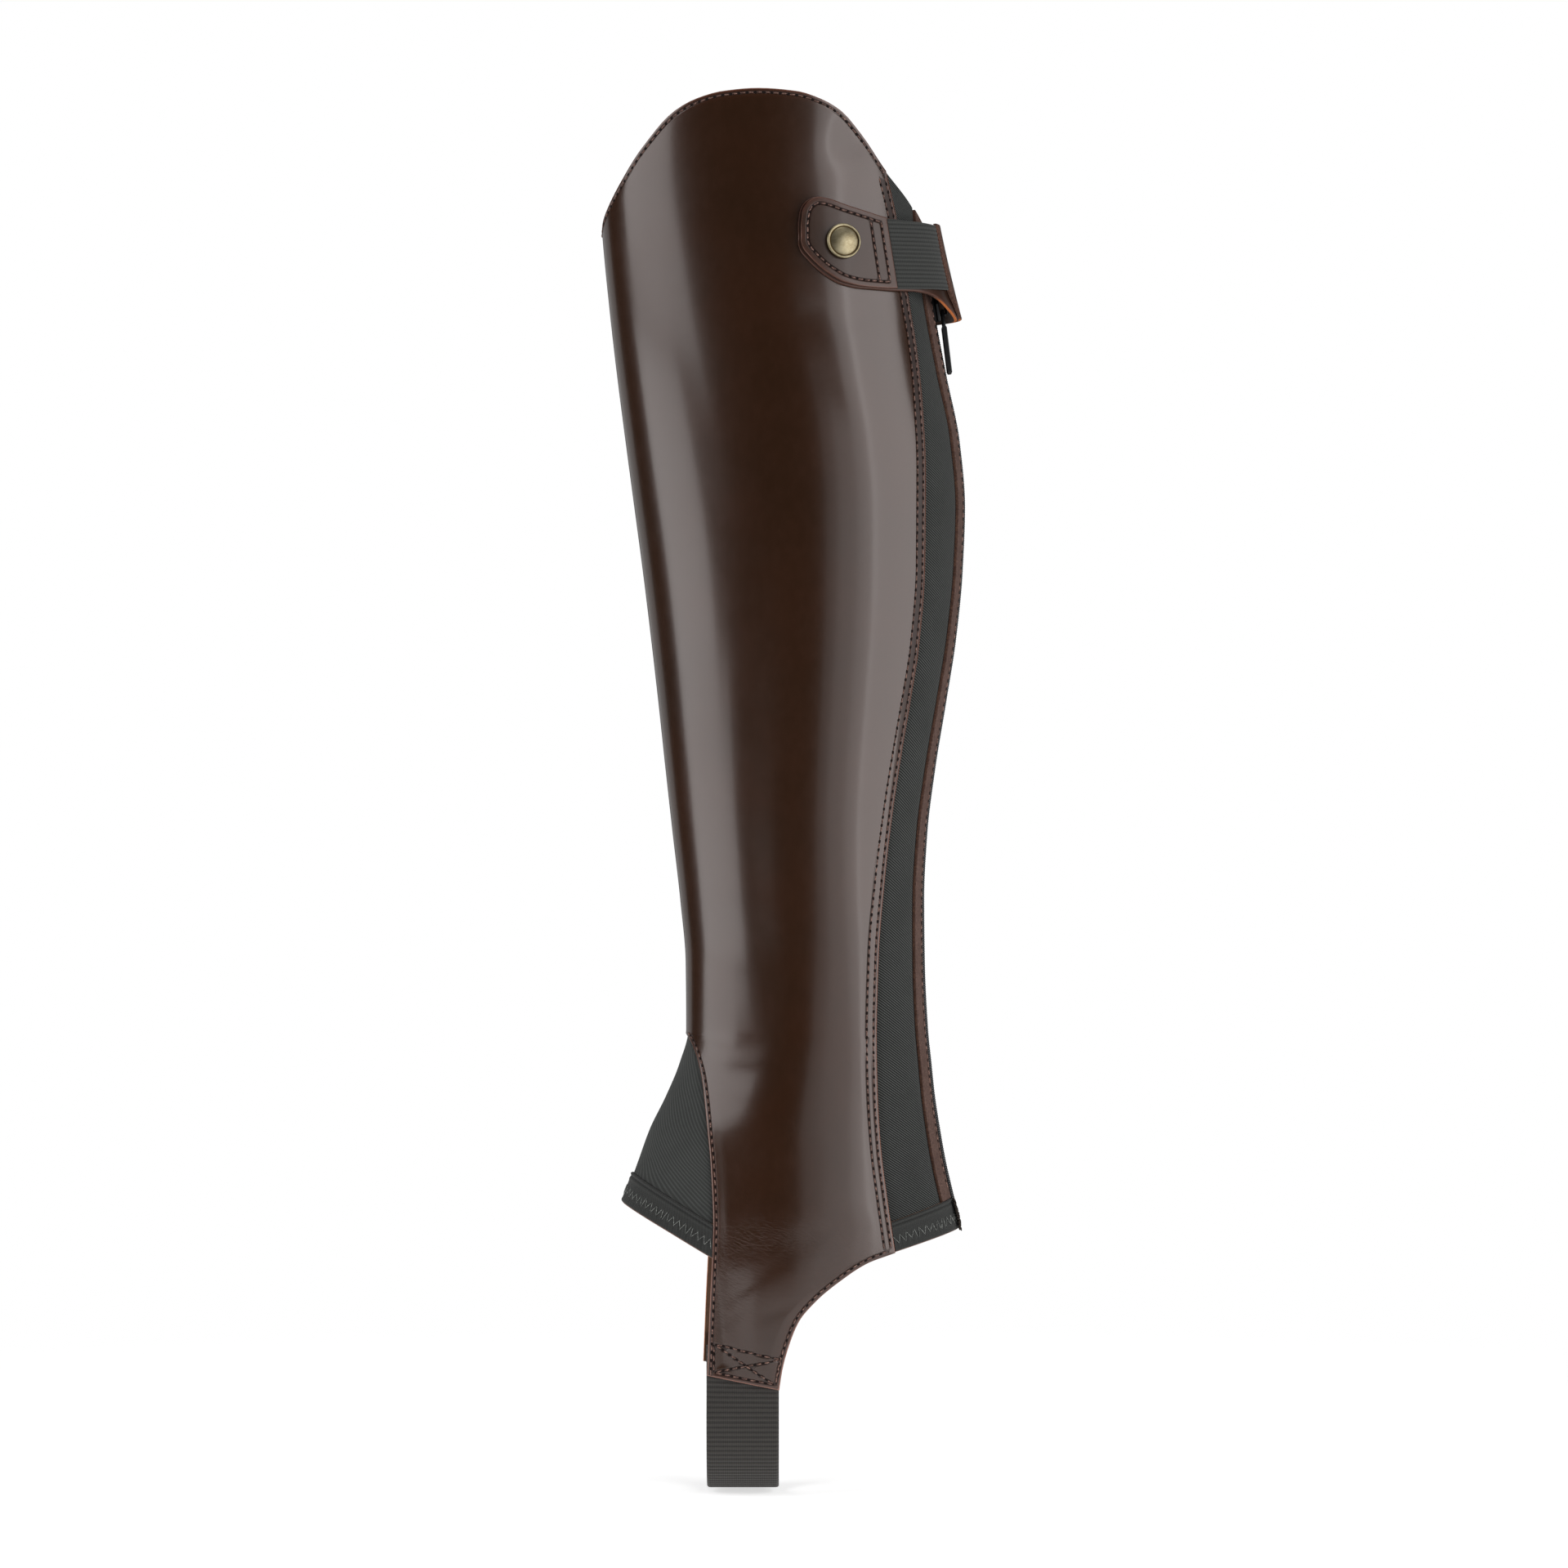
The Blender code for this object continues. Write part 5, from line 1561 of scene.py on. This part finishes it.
def make_zip():
    z = np.linspace(ZIP_FOOT, CHAIN_HEAD, 400)
    angles = np.full(400, math.pi)
    teeth = tooth_tree("zip_teeth", BLACK_METAL)
    rows = [on_form_row(angles, z, 0.98, -1.0)]
    chain = grow("zip_teeth", teeth, rows, "black_metal")
    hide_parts("zip_chain")
    for name, node, near, far in (
        ("outer_zip_tape", "zip_tape_outer", ZIP_EDGE + 5.0, 0.5),
        ("inner_zip_tape", "zip_tape_inner", -0.5, -ZIP_EDGE - 5.0),
    ):
        t = np.linspace(0, 1, 15)[None, :]
        level = np.linspace(ZIP_FOOT, ZIP_HEAD, 160)[:, None] + 0 * t
        distance = near + (far - near) * t
        angle = round_from_zip(distance + 0 * level, level)
        sunk = -TUCKED_SUNK - 0.05 + 0 * level
        weave = 0.04 * np.cos(level * FULL_TURN / 5.2)
        outer = off_form(angle, level, sunk + weave)
        inner = off_form(angle, level, sunk - TAPE)
        uv = np.stack(np.broadcast_arrays(distance * MM, level * MM), -1)
        tape = shell(name, outer, inner, [TAPE_CLOTH] * 6, uv, level * 0 + 5)
        sew_in(tape, "black_tape", node)
    softened("slider", "zip_slider", "chap", 0.3)
    softened("pull_tab", "zip_pull", "zip_pull", 0.32)


def make_stage():
    floor = bpy.data.meshes.new("floor")
    bm = bmesh.new()
    bmesh.ops.create_circle(bm, cap_ends=True, segments=96, radius=0.9)
    bm.to_mesh(floor)
    bm.free()
    floor.transform(Matrix.Translation((0, 0, (STIRRUP_FOOT - 1.6) * MM)))
    shader = Shader("white_floor", Roughness=0.9, Specular_IOR_Level=0.0)
    shader.surface.inputs["Emission Strength"].default_value = 0.6
    x, y, _ = shader.parts(shader.place())
    radius = (x * x + y * y).math("SQRT")
    fade = 1.0 - radius.ramp(0.14, 0.8)
    shader.surface.inputs["Base Color"].default_value = (0.9, 0.9, 0.9, 1)
    shader.surface.inputs["Emission Color"].default_value = (1, 1, 1, 1)
    floor.materials.append(shader.feed(Alpha=fade))
    add_object("floor", floor)


def area_light(name, place, size, power):
    light = bpy.data.lights.new(name, "AREA")
    light.shape = "RECTANGLE"
    light.size, light.size_y = size
    light.energy = power
    obj = add_object(name, light)
    obj.location = place
    obj.rotation_euler = (Vector(LIT) - Vector(place)).to_track_quat("-Z", "Y").to_euler()
    obj.visible_camera = False


def around(azimuth, distance, height):
    """A place round the object. Azimuth 0 is at the camera, and 90 to its right."""
    turn = math.radians(azimuth)
    return (distance * math.sin(turn), -distance * math.cos(turn), height)


LIT = (-0.005, 0, -0.12)
SOFTBOXES = (
    # name, azimuth, distance, height, width, tall, power
    ("left_high_softbox", -71, 1.9, 0.68, 1.6, 1.25, 19.2),
    ("left_middle_softbox", -79, 1.9, -0.15, 1.2, 0.4, 4.6),
    ("left_low_softbox", -75, 1.9, -0.83, 1.5, 0.95, 13.7),
    ("front_low_softbox", -36, 1.8, -0.82, 0.5, 0.4, 1.6),
    ("right_softbox", 58, 1.9, 0.0, 1.6, 2.4, 38),
    ("right_third_edge", 31, 1.95, 0.0, 0.48, 2.4, 7.4),
    ("right_second_edge", 17.5, 1.95, -0.38, 0.44, 1.7, 3.1),
    ("right_first_edge", 7.5, 1.95, -0.38, 0.26, 1.7, 0.9),
    ("left_back_panel", -145, 1.9, 0.0, 1.3, 2.4, 4),
    ("right_back_panel", 140, 1.9, 0.0, 1.3, 2.4, 4),
)


def make_lights():
    for name, azimuth, distance, height, wide, tall, power in SOFTBOXES:
        area_light(name, around(azimuth, distance, height), (wide, tall), power)
    area_light("top_panel", (0.0, -0.3, 1.9), (1.6, 1.6), 12)
    world = bpy.data.worlds.new("studio")
    bpy.context.scene.world = world
    world.use_nodes = True
    nodes, links = world.node_tree.nodes, world.node_tree.links
    background = nodes["Background"]
    seen = nodes.new("ShaderNodeLightPath")
    strength = nodes.new("ShaderNodeMapRange")
    strength.inputs["To Min"].default_value = 0.015
    strength.inputs["To Max"].default_value = 1.0
    links.new(seen.outputs["Is Camera Ray"], strength.inputs["Value"])
    links.new(strength.outputs[0], background.inputs["Strength"])
    background.inputs["Color"].default_value = (1, 1, 1, 1)


def make_camera():
    camera = bpy.data.cameras.new("camera")
    camera.sensor_width = 36.0
    camera.lens = 137.9
    camera.clip_end = 50
    obj = add_object("camera", camera)
    obj.location = (-0.00527, -2.5, -0.12223)
    obj.rotation_euler = (math.radians(90), 0, 0)
    bpy.context.scene.camera = obj
    bpy.context.scene.view_settings.view_transform = "Standard"
    bpy.context.scene.view_settings.look = "None"


make_camera()
make_leather()
make_elastics()
make_hem(
    "gusset_binding", inner_gusset_angle, front_of_outer, front_hem_foot, FRONT_HEM_HEIGHT, 160, "gusset_hem",
)
make_hem(
    "heel_binding", back_of_outer, zip_edge, heel_hem_foot, HEEL_HEM_HEIGHT, 64, "heel_hem"
)
make_stirrup()
make_strap()
make_cap()
make_zip()
make_sewing()
make_frayed_end()
make_stage()
make_lights()
